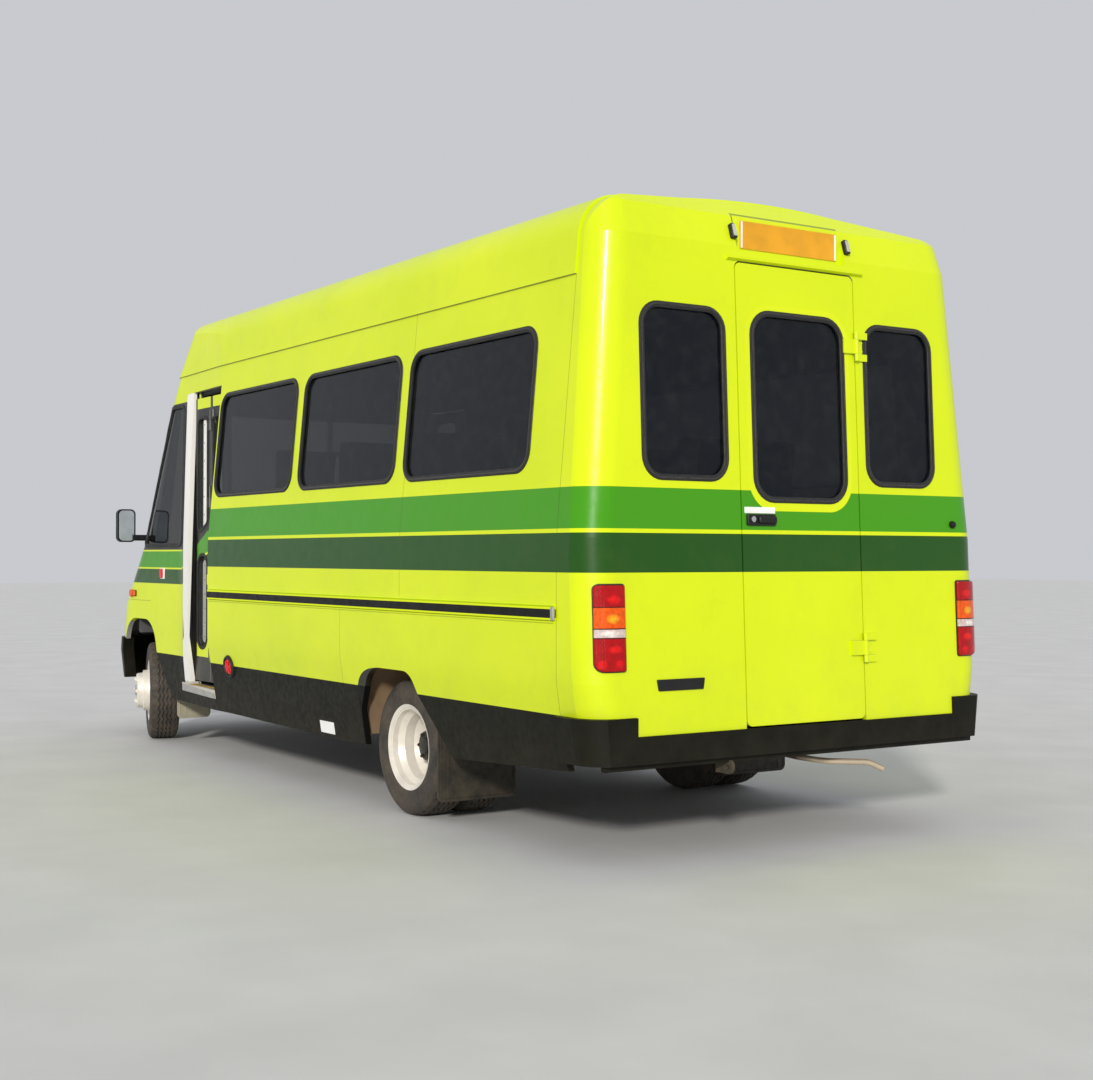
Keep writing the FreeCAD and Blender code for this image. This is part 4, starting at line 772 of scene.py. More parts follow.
paint(LIME, "side_panels", "rear_cap")
paint(LIME_DOOR, "rear_door")
paint(LIME_CAB, "cab_shell", "driver_door")
paint(LIME_LEAF, "door_leaf_front", "door_leaf_rear")
paint(LIME_PLAIN, "roof", "bonnet")
paint(BLACK, "skirts", "front_bumper", "rear_bumper")
paint(RAIL, "rub_rails")
paint(BLACK_FINE, "grille", "rear_door_handle", "mirror_left", "mirror_right")
paint(GLASS, "body_glass", "rear_door_glass")
paint(GLASS_CLEAR, "windscreen", "driver_door_glass", "door_leaf_front_glass", "door_leaf_rear_glass")
paint(CLEAR, "headlamps")
paint(AMBER, "front_indicators")
paint(YELLOW, "rear_plate")
paint(FRAME, "entrance_frame")
paint(SILVER, "front_rim_left", "front_rim_right", "rear_rims_left", "rear_rims_right")
paint(UNDER, "chassis_frame", "front_axle_beam", "rear_axle", "leaf_springs", "engine_block", "fuel_tank",
      "knuckle_left", "knuckle_right")
paint(STEEL, "track_rod")
paint(FLOOR_VINYL, "floor_pan", "step_well")
paint(DASH, "dashboard", "steering_wheel", "engine_cover")

# Sections of the rubbers, as (outwards along the face, out of the face) from the opening's edge.
BEAD = [(-0.015, -0.006), (-0.015, 0.002), (-0.011, 0.0052), (0.002, 0.0068), (0.008, 0.0042), (0.0105, 0.0)]
STRIP = [(-0.0045, 0.004), (-0.004, 0.0072), (-0.001, 0.0082), (0.002, 0.0072), (0.0025, 0.004)]
NARROW = [(-0.010, -0.004), (-0.010, 0.002), (-0.006, 0.0042), (0.005, 0.0042), (0.010, 0.001),
          (0.010, -0.001)]
UP = Vector((0, 0, 1))
QUARTER = math.pi / 2


def seat_at(node, plane, sign, a, b):
    """Frame on a node's outer face: local Y points out of it and local Z is upright."""
    spot, normal = on_skin(node, plane, sign, a, b)
    across = normal.cross(UP).normalized()
    m = Matrix((across, normal, across.cross(normal))).transposed().to_4x4()
    m.translation = spot
    return m


def slab(shape, outline, depth, matrix=Matrix(), edge=0.0015):
    """A plate of rounded outline in local X and Z, from Y = depth[0] to depth[1], its edge broken."""
    points = rounded(outline, 5)
    ways = outward(points)
    rows = []
    for level, grow in ((depth[0], 0.0), (depth[1] - edge, 0.0), (depth[1], -edge)):
        rows.append([matrix @ Vector((p.x + w.x * grow, level, p.y + w.y * grow))
                     for p, w in zip(points, ways)])
    shape.grid(rows, close_v=True, caps=True)


def plate(shape, half_wide, half_high, radius, depth, matrix, edge=0.0015):
    """A slab centred on its frame."""
    slab(shape, rect(-half_wide, half_wide, -half_high, half_high, radius), depth, matrix, edge)


def badge(name, material, half_wide, half_high, radius, depth, matrix, edge=0.0015, body="body"):
    """A piece of one plate."""
    shape = Shape()
    plate(shape, half_wide, half_high, radius, depth, matrix, edge)
    shape.made(name, material, body)


def turned(name, material, profile, count, matrix, body="body", slot=None):
    """A piece turned about local Y; the profile runs from the axis to the axis."""
    shape = Shape()
    shape.lathe(profile, count, matrix)
    shape.made(name, material, body, slot)


# Windows.
def framed(name, outline, node, plane, sign, body="body", profile=BEAD, strip=True, longest=0.05):
    """A window's rubber, with the filler strip in its groove."""
    seal(name, outline, node, plane, sign, profile, RUBBER, body, longest)
    if strip:
        seal(name + "_filler", outline, node, plane, sign, STRIP, FILLER, body, longest)


def raised(window):
    """The outline of a back window whose rubber stands a little up at the bottom."""
    low_a, high_a, low_b, high_b, radius = window
    return rect(low_a, high_a, low_b + 0.009, high_b, radius)


def make_window_rubbers():
    """Rubbers round the panes of the saloon, the cab and the doors."""
    for side, tag in SIDES:
        for i, (x, half, low, high, r) in enumerate(WINDOWS):
            pane = rect(x - half, x + half, low, high, r)
            framed(f"side_rubber_{tag}_{i}", pane, "side_panels", "xz", side)
    for i, window in enumerate(BACK_WINDOWS):
        framed(f"back_rubber_{i}", raised(window), "rear_cap", "yz", -1)
    framed("back_door_rubber", raised(DOOR_WINDOW), "rear_door", "yz", -1, "door_back")
    framed("cab_rubber_left", CAB_WINDOW, "cab_shell", "xz", 1, strip=False)
    framed("cab_rubber_right", CAB_WINDOW, "driver_door", "xz", -1, "door_driver", strip=False)
    framed("windscreen_rubber", WINDSCREEN, "cab_shell", "yz", 1, longest=0.04)
    for node, edge in LEAF_REAR_EDGES.items():
        for tag, outline in (("upper", LEAF_UPPER), ("lower", LEAF_LOWER)):
            placed = [(edge + a, b, r) for a, b, r in outline]
            framed(f"{node}_{tag}_rubber", placed, node, "xz", 1, node.replace("door_", ""), NARROW, False)


LEAF_FACE_Y = 0.9392


def make_leaf_trim():
    """Pale bars behind the panes of the door's leaves, with their screws."""
    for node, edge in LEAF_REAR_EDGES.items():
        bars, plain, screws = Shape(), Shape(), Shape()
        face = Matrix.Translation((0, LEAF_FACE_Y, 0))
        rear, front = edge + 0.062, edge + 0.132
        slab(bars, [(rear, 1.378, 0.003), (front, 1.346, 0.003), (front, 1.978, 0.003), (rear, 1.978, 0.003)],
             (0, 0.004), face)
        slab(plain, rect(edge + 0.066, edge + 0.138, 0.668, 1.152, 0.028), (0, 0.004), face)
        for x, low, high in ((edge + 0.118, 1.42, 1.95), (edge + 0.102, 0.70, 1.12)):
            for k in range(6):
                spot = Matrix.Translation((x, LEAF_FACE_Y + 0.004, low + (high - low) * k / 5))
                screws.lathe([(0, 0), (0, 0.004), (0.0012, 0.0034), (0.0016, 0)], 10, spot)
        for shape, name, material in ((bars, "upper_bar", PILLAR), (plain, "lower_bar", ALLOY),
                                      (screws, "screws", BLACK_FINE)):
            shape.made(f"{node}_{name}", material, node.replace("door_", ""))


# The body's sides.
def laid(name, path, node, plane, sign, profile, material):
    """A moulding along points on a node's outer face, closed at its ends."""
    rows = []
    for i, p in enumerate(path):
        spot, normal = on_skin(node, plane, sign, *p)
        ahead = Vector(path[min(i + 1, len(path) - 1)]) - Vector(path[max(i - 1, 0)])
        lift = along_face(plane, Vector((-ahead.y, ahead.x)).normalized(), normal)
        rows.append([spot + lift * a + normal * h for a, h in profile])
    shape = Shape()
    shape.grid(rows, close_v=True, caps=True)
    shape.made(name, material)


def half_round(width, height, sink=0.001, count=8):
    """Section of a bead that stands on a face."""
    rim = [(width / 2 * math.cos(math.pi * k / count), height * math.sin(math.pi * k / count))
           for k in range(count + 1)]
    return rim + [(-width / 2, -sink), (width / 2, -sink)]


def run(start, end, step):
    """Points from one place to another, at most a step apart."""
    parts = max(1, math.ceil((Vector(end) - Vector(start)).length / step))
    return [tuple(Vector(start).lerp(Vector(end), k / parts)) for k in range(parts + 1)]


def make_rail_trim():
    """A lime bead over and under each rub rail, and the rail's pale end."""
    bead = half_round(0.011, 0.007)
    for side, tag in SIDES:
        for z, label in ((0.9925, "upper"), (0.9275, "lower")):
            path = run((0.775, z), (-2.755, z), 0.6)
            laid(f"rail_bead_{label}_{tag}", path, "side_panels", "xz", side, bead, LIME_TRIM)
        here = seat_at("rub_rails", "xz", side, -2.7565, 0.96)
        badge(f"rail_caps_{tag}", ALLOY, 0.010, 0.026, 0.004, (-0.006, 0.003), here)


RELEASE_CUP = [(-0.004, 0), (-0.004, 0.064), (0.004, 0.0635), (0.013, 0.056), (0.013, 0.049), (0.003, 0.046),
               (0.002, 0)]
RELEASE_KNOB = [(0.002, 0), (0.002, 0.0425), (0.007, 0.0425), (0.010, 0.038), (0.009, 0)]


def make_release():
    """The red release knob of the entrance door in its black cup."""
    knob = seat_at("skirts", "xz", 1, 0.52, 0.5665)
    knob.translation.y = side_y(0.57) + 0.001
    turned("release_cup", BLACK_FINE, RELEASE_CUP, 40, knob)
    handle = Shape()
    handle.lathe(RELEASE_KNOB, 36, knob)
    for turn in range(3):
        spin = knob @ Matrix.Rotation(math.pi * turn / 3, 4, "Y")
        plate(handle, 0.036, 0.0045, 0.003, (0.008, 0.0145), spin)
    handle.made("release_handle", RED)


def make_side_marks():
    """The blank patch on the skirt, the red marker on its white plate and the repeaters."""
    badge("blank_patch", WHITE, 0.078, 0.030, 0.003, (0.0, 0.002), seat_at("skirts", "xz", 1, -0.65, 0.335))
    marker = Shape()
    here = seat_at("cab_shell", "xz", 1, 1.80, 1.068)
    slab(marker, rect(-0.012, 0.030, -0.028, 0.028, 0.006), (0.002, 0.012), here)
    marker.made("side_marker", RED)
    badge("side_marker_base", WHITE, 0.036, 0.034, 0.006, (-0.001, 0.003), here)
    for side, tag in SIDES:
        here = seat_at("cab_shell", "xz", side, 2.315, 0.935)
        badge(f"repeater_{tag}", AMBER, 0.026, 0.016, 0.006, (0.002, 0.014), here, 0.004)
        badge(f"repeater_base_{tag}", BLACK_FINE, 0.034, 0.020, 0.007, (-0.001, 0.004), here)


# The entrance's sill: its X from rear to front, its section as (Y from the face, Z) and its ribbed top.
SILL_REAR_X, SILL_LENGTH, SILL_STATIONS = 0.806, 0.66, 13
SILL_SECTION = [(-0.0005, 0.3665), (0.0016, 0.3675), (0.0016, 0.4145), (0.0, 0.4166), (-0.060, 0.4166),
                (-0.060, 0.4152), (-0.002, 0.4152)]
NOSING_Y, NOSING_X = 0.655, (0.83, 1.27)


def make_sill():
    """Silver edge of the entrance with its ribbed, worn top, and the nosing of the step inside."""
    cover, ribs, nosing = Shape(), Shape(), Shape()
    rows = []
    for k in range(SILL_STATIONS):
        x = SILL_REAR_X + SILL_LENGTH * k / (SILL_STATIONS - 1)
        spot, _ = on_skin("entrance_frame", "xz", 1, x, 0.39)
        if spot is not None:
            rows.append([Vector((x, spot.y + a, z)) for a, z in SILL_SECTION])
    cover.grid(rows, close_v=True, caps=True)
    cover.made("sill_cover", ALLOY)
    for k in range(5):
        y = rows[4][1].y - 0.010 - 0.009 * k
        for i in range(21):
            x = 0.82 + 0.022 * i
            ribs.block((x, y - 0.003, 0.4164), (x + 0.014, y + 0.003, 0.4184), 0.0008)
    ribs.made("sill_ribs", NOSING)
    top = on_skin("step_well", "xy", 1, 1.05, NOSING_Y)[0].z
    for k in range(4):
        y = NOSING_Y + 0.006 * k
        nosing.block((NOSING_X[0], y, top + 0.0004), (NOSING_X[1], y + 0.004, top + 0.0028), 0.0007)
    nosing.made("step_nosing", NOSING)


# The back.
LAMP_LOW, LAMP_HIGH = 0.748, 1.072
LAMP_INNER, LAMP_OUTER = 0.897, 1.016
LAMP_OUTLINE = [(LAMP_INNER, LAMP_LOW, 0.008), (LAMP_OUTER, LAMP_LOW, 0.030), (LAMP_OUTER, LAMP_HIGH, 0.018),
                (LAMP_INNER, LAMP_HIGH, 0.008)]
LAMP_EDGE = 0.004


def lamp_shell(side, grow, heights):
    """A shell over the tail lamp's outline that follows the corner of the back."""
    outline = divided(rounded(LAMP_OUTLINE, 6), 0.020)
    ways = outward(outline)
    middle = Vector(((LAMP_INNER + LAMP_OUTER) / 2, (LAMP_LOW + LAMP_HIGH) / 2))
    levels = [(grow, 1.0, heights[0]), (grow, 1.0, heights[1]), (grow - LAMP_EDGE, 1.0, heights[2])]
    levels += [(grow - LAMP_EDGE, share, heights[2] + 0.002 * (1 - share)) for share in (0.75, 0.5, 0.25)]
    rows = []
    for inset, share, lift in levels:
        ring = []
        for p, way in zip(outline, ways):
            q = middle + (p + way * inset - middle) * share
            spot, normal = on_skin("rear_cap", "yz", -1, side * q.x, q.y)
            ring.append(spot + normal * lift)
        rows.append(ring)
    shape = Shape()
    shape.grid(rows, close_v=True, caps=True)
    return shape


def make_tail_lamp(side, tag):
    """A lens on a dark gasket."""
    lamp_shell(side, LAMP_EDGE, (-0.001, 0.004, 0.005)).made(f"tail_gasket_{tag}", RUBBER)
    lens_piece = lamp_shell(side, 0.0, (0.0, 0.012, 0.0155)).made(f"tail_lens_{tag}", TAIL)
    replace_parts(lens_piece, "tail_lamps")


DRIP_SECTION = [(-0.009, -0.002), (-0.009, 0.010), (-0.004, 0.0165), (0.003, 0.0165), (0.009, 0.006),
                (0.009, -0.002)]
PLATE_FACE_X, PLATE_END_Y, PLATE_Z = -2.8902, 0.2545, (2.4205, 2.5265)


def make_plate_surround():
    """The drip ledge over the emergency door, and the plate's lamps and blank white ends."""
    path = run((0.352, 2.3705), (-0.382, 2.3705), 0.12)
    laid("drip_ledge", path, "rear_cap", "yz", -1, DRIP_SECTION, LIME_TRIM)
    lamps, lenses, ends = Shape(), Shape(), Shape()
    for y in (0.305, -0.312):
        here = seat_at("rear_cap", "yz", -1, y, 2.478)
        plate(lamps, 0.013, 0.032, 0.006, (-0.001, 0.020), here, 0.004)
        plate(lenses, 0.0085, 0.026, 0.005, (0.019, 0.024), here, 0.002)
    lamps.made("plate_lamps", BLACK_FINE)
    lenses.made("plate_lamp_lenses", CLEAR)
    for y in (-PLATE_END_Y, PLATE_END_Y):
        low, high = (PLATE_FACE_X - 0.001, y - 0.0045, PLATE_Z[0]), (PLATE_FACE_X, y + 0.0045, PLATE_Z[1])
        ends.block(low, high, 0.0003)
    ends.made("plate_ends", WHITE)


def make_door_handle():
    """The emergency door's recessed handle with its lock, and the blank label over it."""
    here = seat_at("rear_door", "yz", -1, 0.212, 1.3635)
    badge("blank_label", WHITE, 0.080, 0.0125, 0.003, (0.0, 0.0016), here, 0.0005, "door_back")
    here = seat_at("rear_door", "yz", -1, 0.209, 1.3245)
    shell = Shape()
    plate(shell, 0.074, 0.023, 0.006, (0.0, 0.011), here, 0.003)
    slab(shell, rect(-0.070, 0.022, -0.013, 0.013, 0.006), (0.010, 0.024), here, 0.004)
    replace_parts(shell.made("handle_shell", BLACK_FINE, "door_back"), "rear_door_handle")
    profile = [(0.009, 0), (0.009, 0.0125), (0.015, 0.012), (0.017, 0.009), (0.0165, 0)]
    turned("door_lock", CHROME, profile, 28, here @ Matrix.Translation((0.046, 0.0, 0.002)), "door_back")


DOOR_STOP = [(-0.002, 0), (-0.002, 0.016), (0.006, 0.016), (0.016, 0.012), (0.019, 0.006), (0.019, 0)]
TRIM_PLATE = [(-0.108, -0.022, 0.004), (0.108, -0.022, 0.004), (0.116, 0.022, 0.004), (-0.116, 0.022, 0.004)]
SCREW = [(-0.001, 0), (-0.001, 0.0055), (0.002, 0.005), (0.003, 0)]
HINGES_Z, HINGE_SCREWS_Y, HINGE_SCREW_RISE = (2.06, 0.80), (-0.352, -0.376), 0.018
VALANCE = ((-2.972, -0.985, 0.372), (-2.945, 0.985, 0.397))


def make_rear_details():
    """The small parts of the back, from the plate's lamps down to the lip under the bumper."""
    make_plate_surround()
    make_door_handle()
    backing, screws, lip = Shape(), Shape(), Shape()
    turned("door_stop", BLACK_FINE, DOOR_STOP, 24, seat_at("rear_cap", "yz", -1, -0.887, 1.318))
    slab(backing, TRIM_PLATE, (-0.001, 0.006), seat_at("rear_cap", "yz", -1, 0.634, 0.688))
    backing.made("blank_trim_plate", BLACK_FINE)
    for hinge_z in HINGES_Z:
        for y in HINGE_SCREWS_Y:
            for z in (hinge_z - HINGE_SCREW_RISE, hinge_z + HINGE_SCREW_RISE):
                screws.lathe(SCREW, 12, seat_at("rear_cap", "yz", -1, y, z))
    screws.made("hinge_screws", LIME_TRIM)
    for side, tag in SIDES:
        make_tail_lamp(side, tag)
    lip.block(*VALANCE, 0.004)
    lip.made("rear_valance", BLACK)


# Mirrors and wipers.
MIRROR_AT = (2.190, 1.066, 1.37)


def make_mirrors():
    """The bright faces of the mirrors."""
    for (side, tag), body in zip(SIDES, ("body", "door_driver")):
        x, y, z = MIRROR_AT
        face = Matrix.Translation((x, side * y, z)) @ Matrix.Rotation(QUARTER, 4, "Z")
        badge(f"mirror_glass_{tag}", MIRROR, 0.049, 0.096, 0.026, (-0.001, 0.0022), face, 0.001, body)


# Each wiper's root on the scuttle, its arm's tip, and its blade from end to end, as (Y, Z).
WIPERS = (((0.52, 1.284), (0.18, 1.378), (0.44, 1.352), (-0.10, 1.400)),
          ((-0.16, 1.284), (-0.50, 1.378), (-0.24, 1.352), (-0.72, 1.400)))


def make_wipers():
    """Two wipers at rest on the windscreen."""
    arms, blades = Shape(), Shape()
    for root, tip, start, end in WIPERS:
        points = []
        for node, spot_at in (("cab_shell", root), ("windscreen", tip)):
            spot, normal = on_skin(node, "yz", 1, *spot_at)
            points.append(spot + normal * 0.022)
        arms.bar([points[0] - Vector((0.020, 0.0, 0.0)), *points], [0.010, 0.008, 0.005])
        line = []
        for k in range(9):
            a, b = (start[i] + (end[i] - start[i]) * k / 8 for i in (0, 1))
            spot, normal = on_skin("windscreen", "yz", 1, a, b)
            if spot is not None:
                line.append(spot + normal * 0.010)
        blades.bar(line, 0.0055, 8)
    arms.made("wiper_arms", BLACK_FINE)
    blades.made("wiper_blades", RUBBER)


# Wheels. Sections are (along the axle, radius).
TYRE_WALL = [(0.079, 0.178), (0.083, 0.190), (0.0855, 0.1975), (0.0900, 0.208), (0.0925, 0.236),
             (0.0915, 0.258), (0.0920, 0.260), (0.0905, 0.270), (0.0855, 0.289), (0.0790, 0.3005)]
FRONT_HUB = [(0.150, 0), (0.150, 0.036), (0.160, 0.036), (0.171, 0.030), (0.174, 0.012), (0.174, 0)]
REAR_HUB = [(0.012, 0), (0.012, 0.104), (0.037, 0.103), (0.040, 0.099), (0.041, 0.0715), (0.090, 0.0700),
            (0.099, 0.0665), (0.100, 0.040), (0.112, 0.036), (0.115, 0.020), (0.115, 0)]
GROOVE = ((0.0045, 0.0), (0.0028, 0.0085), (-0.0028, 0.0085), (-0.0045, 0.0))
TYRE_STEPS, ZIG, SHOULDER_CUT = 144, 0.0055, 0.0075


def tyre_ring(shape, matrix):
    """A tyre about local Y: rounded walls, zig-zag grooves and cut shoulders."""
    rows = []
    for i in range(TYRE_STEPS):
        t = 2 * math.pi * i / TYRE_STEPS
        zig = (0, 1, 0, -1)[i % 4] * ZIG
        low = SHOULDER_CUT if i % 4 in (1, 2) else 0.0
        tread = []
        for side in (-1, 1):
            line = [(0.0690 * side, 0.3065 - low), (0.0585 * side, 0.3085 - low * 0.9),
                    (0.0580 * side, 0.3088)]
            for middle in (0.0370, 0.0125):
                crown = TYRE_R - (middle ** 2) * 0.4
                for a, drop in GROOVE:
                    line.append(((middle + a) * side + zig, crown - drop))
            tread += line if side < 0 else line[::-1]
        section = [(-a, r) for a, r in TYRE_WALL] + tread + [(a, r) for a, r in reversed(TYRE_WALL)]
        rows.append([matrix @ Vector((r * math.sin(t), a, r * math.cos(t))) for a, r in section])
    shape.grid(rows, close_u=True, close_v=True)


def nuts(shape, matrix, circle, level, size, count=6):
    """Hexagon nuts on their studs round local Y."""
    for i in range(count):
        t = 2 * math.pi * (i + 0.5) / count
        here = matrix @ Matrix.Translation((circle * math.sin(t), level, circle * math.cos(t)))
        shape.lathe([(0, 0), (0, size), (0.008, size), (0.0105, size * 0.8), (0.0105, 0.005), (0.014, 0.0045),
                     (0.0145, 0)], 6, here)


def make_front_wheel(side, tag, flip):
    """A tyre, wheel nuts and a bright hub cap on the turned stub."""
    body = f"wheel_front_{tag}"
    pin = Matrix.Translation((FRONT_AXLE, side * KINGPIN, TYRE_R)) @ Matrix.Rotation(PARK, 4, "Z")
    front = pin @ Matrix.Translation((0, side * STUB_REACH, 0)) @ Matrix.Rotation(flip, 4, "Z")
    tyre, bolts = Shape(), Shape()
    tyre_ring(tyre, front)
    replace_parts(tyre.made(f"front_tyre_tread_{tag}", TYRE, body), f"front_tyre_{tag}")
    nuts(bolts, front, 0.080, 0.162, 0.0115)
    bolts.made(f"front_nuts_{tag}", SILVER, body)
    turned(f"front_hub_cap_{tag}", CHROME, FRONT_HUB, 28, front, body)


def make_rear_wheels(side, tag, flip):
    """Twin tyres, wheel nuts and the dark hub with its ring of studs."""
    body = f"wheels_rear_{tag}"
    middle = Matrix.Translation((REAR_AXLE, side * TWIN_MID, TYRE_R)) @ Matrix.Rotation(flip, 4, "Z")
    tyres, bolts = Shape(), Shape()
    for offset in (TWIN_HALF, -TWIN_HALF):
        tyre_ring(tyres, middle @ Matrix.Translation((0, offset, 0)))
    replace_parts(tyres.made(f"rear_tyre_treads_{tag}", TYRE, body), f"rear_tyres_{tag}")
    nuts(bolts, middle, 0.086, 0.038, 0.0145)
    nuts(bolts, middle, 0.056, 0.098, 0.0085)
    bolts.made(f"rear_nuts_{tag}", BLACK_FINE, body, "cast_metal")
    turned(f"rear_hub_{tag}", BLACK_FINE, REAR_HUB, 32, middle, body, "cast_metal")


def make_wheels():
    """Tyres, nuts and hubs on both sides."""
    for side, tag in SIDES:
        flip = 0.0 if side > 0 else math.pi
        make_front_wheel(side, tag, flip)
        make_rear_wheels(side, tag, flip)


# Under the body.
TAIL_PIPE = [(1.80, -0.29, 0.40), (1.12, -0.29, 0.40), (1.05, -0.25, 0.40), (0.90, -0.25, 0.40),
             (-0.60, -0.25, 0.40), (-1.15, -0.25, 0.412), (-2.04, -0.25, 0.405), (-2.45, -0.13, 0.372),
             (-2.76, -0.12, 0.342), (-2.86, -0.22, 0.322), (-2.90, -0.42, 0.309), (-2.907, -0.447, 0.302),
             (-2.922, -0.498, 0.277)]
SILENCER_AT = (0.42, -0.25, 0.40)
SILENCER = [(0.0, 0.020), (0.004, 0.060), (0.014, 0.070), (0.606, 0.070), (0.616, 0.060), (0.620, 0.020)]

# Each mudflap as (X, inner and outer Y, bottom and top Z), and the arch lining as (X, Z) points.
MUDFLAPS = ((-1.738, 0.602, 1.003, 0.103, 0.556), (1.706, 0.690, 0.905, 0.170, 0.556))
ARCH_LINING = [(-1.030, 0.336), (-1.030, 0.500), (-1.055, 0.585), (-1.110, 0.640), (-1.180, 0.662),
               (-1.620, 0.662), (-1.690, 0.640), (-1.715, 0.560)]
ARCH_LINING_Y, ARCH_LINING_WALL = (0.560, 0.986), 0.003


def make_exhaust():
    """The pipe with its bends eased, and the silencer round it."""
    pipe = Shape()
    bends = []
    for i, point in enumerate(TAIL_PIPE):
        p = Vector(point)
        if 0 < i < len(TAIL_PIPE) - 1:
            back, on = Vector(TAIL_PIPE[i - 1]) - p, Vector(TAIL_PIPE[i + 1]) - p
            cut = min(0.03, back.length / 3, on.length / 3)
            bends += [p + back.normalized() * cut, p + on.normalized() * cut]
        else:
            bends.append(p)
    pipe.bar(bends, [0.022 if p.x > -2.1 else 0.019 if p.x > -2.7 else 0.0125 for p in bends], 14)
    pipe.lathe(SILENCER, 28, Matrix.Translation(SILENCER_AT) @ Matrix.Rotation(-QUARTER, 4, "Z"))
    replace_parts(pipe.made("exhaust_pipe", PIPE), "exhaust")


def flap_at(shape, side, x, inner, outer, bottom, top):
    """A flap with a bead round its rim and a stiffening rib, hung behind a wheel."""
    place = Matrix.Translation((x, 0, 0)) @ Matrix.Rotation(QUARTER, 4, "Z")
    low, high = sorted((side * inner, side * outer))
    slab(shape, rect(low, high, bottom, top, 0.030), (0.0, 0.006), place, 0.002)
    rim = rounded(rect(low + 0.014, high - 0.014, bottom + 0.014, top - 0.012, 0.022), 5)
    shape.bar([(x - 0.006, p.x, p.y) for p in rim + rim[:1]], 0.0028, 6)
    rib = side * (outer - 0.052)
    shape.bar([(x - 0.006, rib, bottom + 0.016), (x - 0.006, rib, top - 0.014)], 0.0028, 6)


def make_under_body():
    """The exhaust, the mudflaps and the linings of the rear arches."""
    make_exhaust()
    flaps, liner = Shape(), Shape()
    near, far = ARCH_LINING_Y
    for side, _ in SIDES:
        for sizes in MUDFLAPS:
            flap_at(flaps, side, *sizes)
        rows = []
        for i, (x, z) in enumerate(ARCH_LINING):
            ahead = Vector(ARCH_LINING[min(i + 1, len(ARCH_LINING) - 1)]) - Vector(ARCH_LINING[max(i - 1, 0)])
            out = Vector((ahead.y, -ahead.x)).normalized() * ARCH_LINING_WALL
            rows.append([Vector((x + a * out.x, side * y, z + a * out.y))
                         for y, a in ((near, 0.0), (far, 0.0), (far, 1.0), (near, 1.0))])
        liner.grid(rows, close_v=True, caps=True)
    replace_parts(flaps.made("mudflap_sheets", FLAP), "mudflaps")
    liner.made("arch_liners", LINER)


# Seats.
SEAT_BACK_LEAN, CUSHION_TIP = math.atan2(0.075, 0.73), -0.034
SEAT_WIDE, SEAT_PITCH, SEAT_INSET, BENCH_WIDE = 0.362, 0.372, 0.1865, 0.745
CUSHION_SIZE, BACK_SIZE = (0.44, SEAT_WIDE, 0.104), (0.70, SEAT_WIDE, 0.082)
FLOOR_Z, DRIVER_FLOOR_Z = 0.70, 0.61
BENCHES = [(x, 0.230) for x in (0.120, -0.650, -1.420, -2.190)]
BENCHES += [(x, -0.975) for x in (0.500, -0.270, -1.040, -1.810)]
DRIVER_X, DRIVER_Y, DRIVER_WIDE = 1.270, -0.430, 0.44


def blown_up(pad):
    """Where the pad's vertices go under pressure, by cloth simulation."""
    cloth_mod = pad.modifiers.new("cloth", "CLOTH")
    settings = cloth_mod.settings
    settings.use_pressure = True
    settings.uniform_pressure_force = 4.0
    settings.quality = 4
    settings.tension_stiffness = settings.compression_stiffness = 18.0
    settings.bending_stiffness = 2.0
    settings.effector_weights.gravity = 0.0
    scene = bpy.context.scene
    for frame_number in range(1, 15):
        scene.frame_set(frame_number)
    graph = bpy.context.evaluated_depsgraph_get()
    spots = [v.co.copy() for v in pad.evaluated_get(graph).data.vertices]
    pad.modifiers.clear()
    scene.frame_set(1)
    return spots


def swollen(size, voxel, cap=0.012):
    """A pad blown up from a slightly smaller box: its vertices and faces, centred."""
    bm = bmesh.new()
    bmesh.ops.create_cube(bm, size=1.0)
    for v in bm.verts:
        v.co = Vector([v.co[i] * (size[i] - 0.010) for i in range(3)])
    bmesh.ops.bevel(bm, geom=list(bm.edges), offset=0.022, segments=3, affect="EDGES", profile=0.5)
    long_edges = [e for e in bm.edges if e.calc_length() > 0.05]
    bmesh.ops.subdivide_edges(bm, edges=long_edges, cuts=5, use_grid_fill=True)
    mesh = bpy.data.meshes.new("pad_start")
    bm.to_mesh(mesh)
    bm.free()
    pad = bpy.data.objects.new("pad_start", mesh)
    bpy.context.scene.collection.objects.link(pad)
    remesh = pad.modifiers.new("remesh", "REMESH")
    remesh.mode = "VOXEL"
    remesh.voxel_size = voxel
    graph = bpy.context.evaluated_depsgraph_get()
    mesh = bpy.data.meshes.new_from_object(pad.evaluated_get(graph))
    pad.modifiers.clear()
    pad.data = mesh
    verts = []
    start = [v.co.copy() for v in mesh.vertices]
    for a, b in zip(start, blown_up(pad)):
        move = b - a
        if move.length > cap:
            move = move.normalized() * cap
        spot = a + move
        verts.append(Vector([max(-size[i] / 2, min(size[i] / 2, spot[i])) for i in range(3)]))
    faces = [tuple(p.vertices) for p in mesh.polygons]
    bpy.data.objects.remove(pad)
    return verts, faces


def sewn(verts, size, lines=(-0.06, 0.06), depth=0.006, width=0.010):
    """Sinks sewn channels along the pad into the face that the sitter touches."""
    out = []
    for v in verts:
        share = max(0.0, min(1.0, v.z / (size[2] / 2)))
        dip = sum(math.exp(-((v.y - line) / width) ** 2) for line in lines)
        out.append(Vector((v.x, v.y, v.z - depth * min(1.0, dip) * share)))
    return out


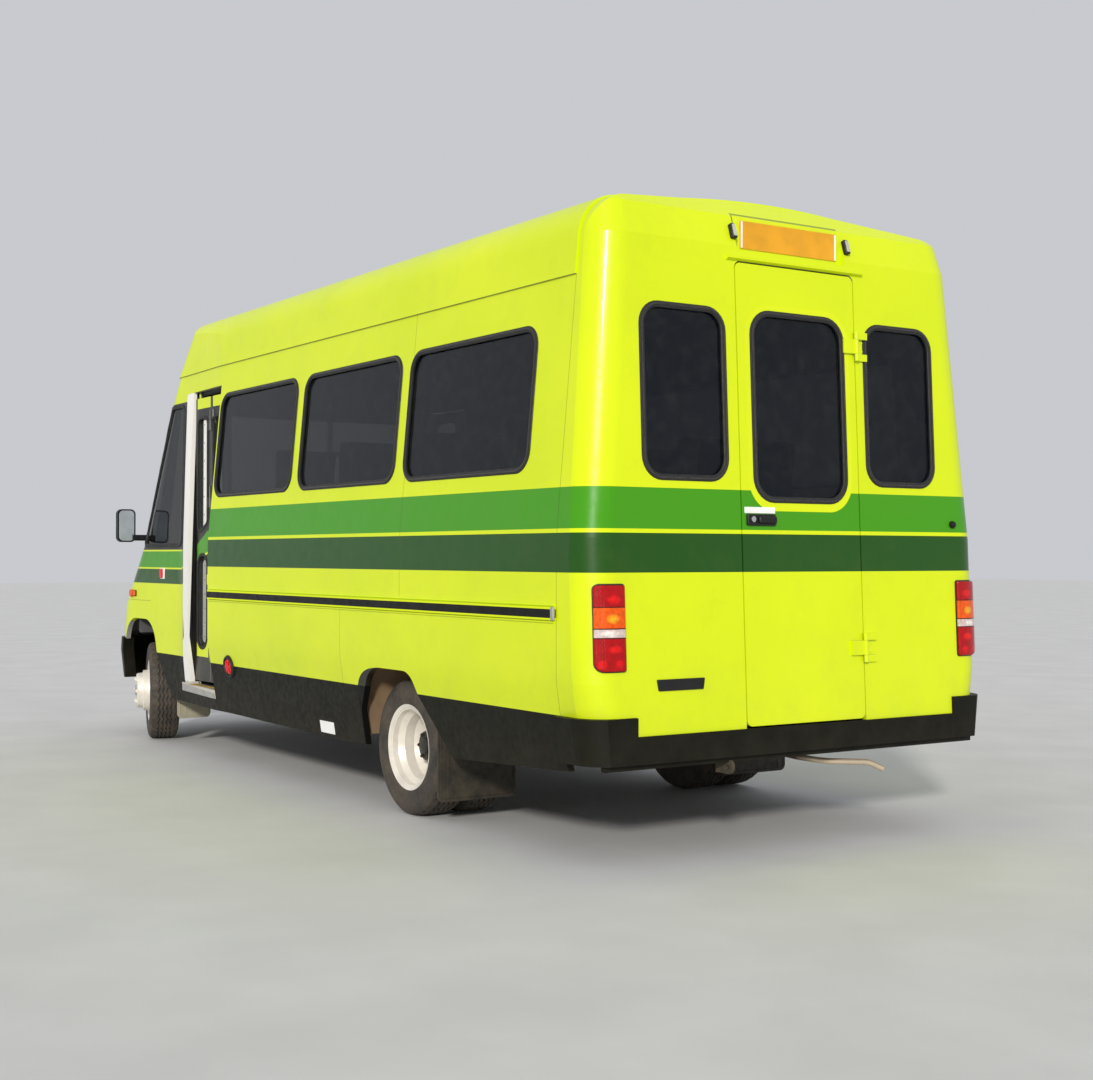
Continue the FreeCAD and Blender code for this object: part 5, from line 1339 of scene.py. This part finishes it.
def make_pads():
    """Padded cushions and backs in the places of the plain seats."""
    cushion, cushion_faces = swollen(CUSHION_SIZE, 0.0125)
    back, back_faces = swollen(BACK_SIZE, 0.0140)
    cushion, back = sewn(cushion, CUSHION_SIZE), sewn(back, BACK_SIZE)
    seats = [(x, y + SEAT_INSET + SEAT_PITCH * k, SEAT_WIDE, "saloon_seats", FLOOR_Z)
             for x, y in BENCHES for k in (0, 1)]
    seats.append((DRIVER_X, DRIVER_Y, DRIVER_WIDE, "driver_seat", DRIVER_FLOOR_Z))
    for number, (x, y, wide, node, base) in enumerate(seats):
        rise = Matrix.Translation((x + 0.226, y, base + 0.392)) @ Matrix.Rotation(CUSHION_TIP, 4, "Y")
        lean = Matrix.Translation((x - 0.006, y, base + 0.710))
        lean = lean @ Matrix.Rotation(-QUARTER - SEAT_BACK_LEAN, 4, "Y")
        for kind, verts, faces, place in (("cushion", cushion, cushion_faces, rise),
                                          ("back", back, back_faces, lean)):
            spots = [place @ Vector((v.x, v.y * wide / SEAT_WIDE, v.z)) for v in verts]
            pad = piece(f"seat_{kind}_{number:02d}", spots, faces, CLOTH)
            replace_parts(pad, node)


def make_seat_frames():
    """Tube frames: two legged sides and three cross bars under each bench and the driver's seat."""
    frames = Shape()
    rows = [(x, y + 0.05, y + BENCH_WIDE - 0.05, FLOOR_Z, FLOOR_Z) for x, y in BENCHES]
    rows.append((DRIVER_X, DRIVER_Y - 0.175, DRIVER_Y + 0.175, DRIVER_FLOOR_Z, FLOOR_Z))
    for x, low, high, base, foot in rows:
        for y in (low, high):
            frames.bar([(x + 0.07, y, foot + 0.002), (x + 0.07, y, base + 0.322), (x + 0.40, y, base + 0.335),
                        (x + 0.40, y, foot + 0.002)], 0.012)
            frames.bar([(x + 0.045, y, base + 0.335), (x - 0.045, y, base + 1.02)], 0.010, 8)
        for ahead, rise, radius, count in ((-0.050, 1.03, 0.012, 10), (0.07, 0.322, 0.010, 8),
                                           (0.40, 0.335, 0.010, 8)):
            frames.bar([(x + ahead, low, base + rise), (x + ahead, high, base + rise)], radius, count)
    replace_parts(frames.made("seat_frames", DASH), "saloon_seats", "driver_seat")


def make_grab_poles():
    """Two bright poles by the entrance, from the floor to the roof."""
    poles = Shape()
    for x, y in ((0.745, 0.33), (0.745, -0.30)):
        top, _ = on_skin("roof", "xy", -1, x, y)
        poles.bar([(x, y, FLOOR_Z + 0.002), (x, y, (top.z if top else 2.5) - 0.002)], 0.016, 14)
    poles.made("grab_poles", CHROME)


make_window_rubbers()
make_leaf_trim()
make_rail_trim()
make_release()
make_side_marks()
make_sill()
make_rear_details()
make_mirrors()
make_wipers()
make_wheels()
make_under_body()
make_pads()
make_seat_frames()
make_grab_poles()
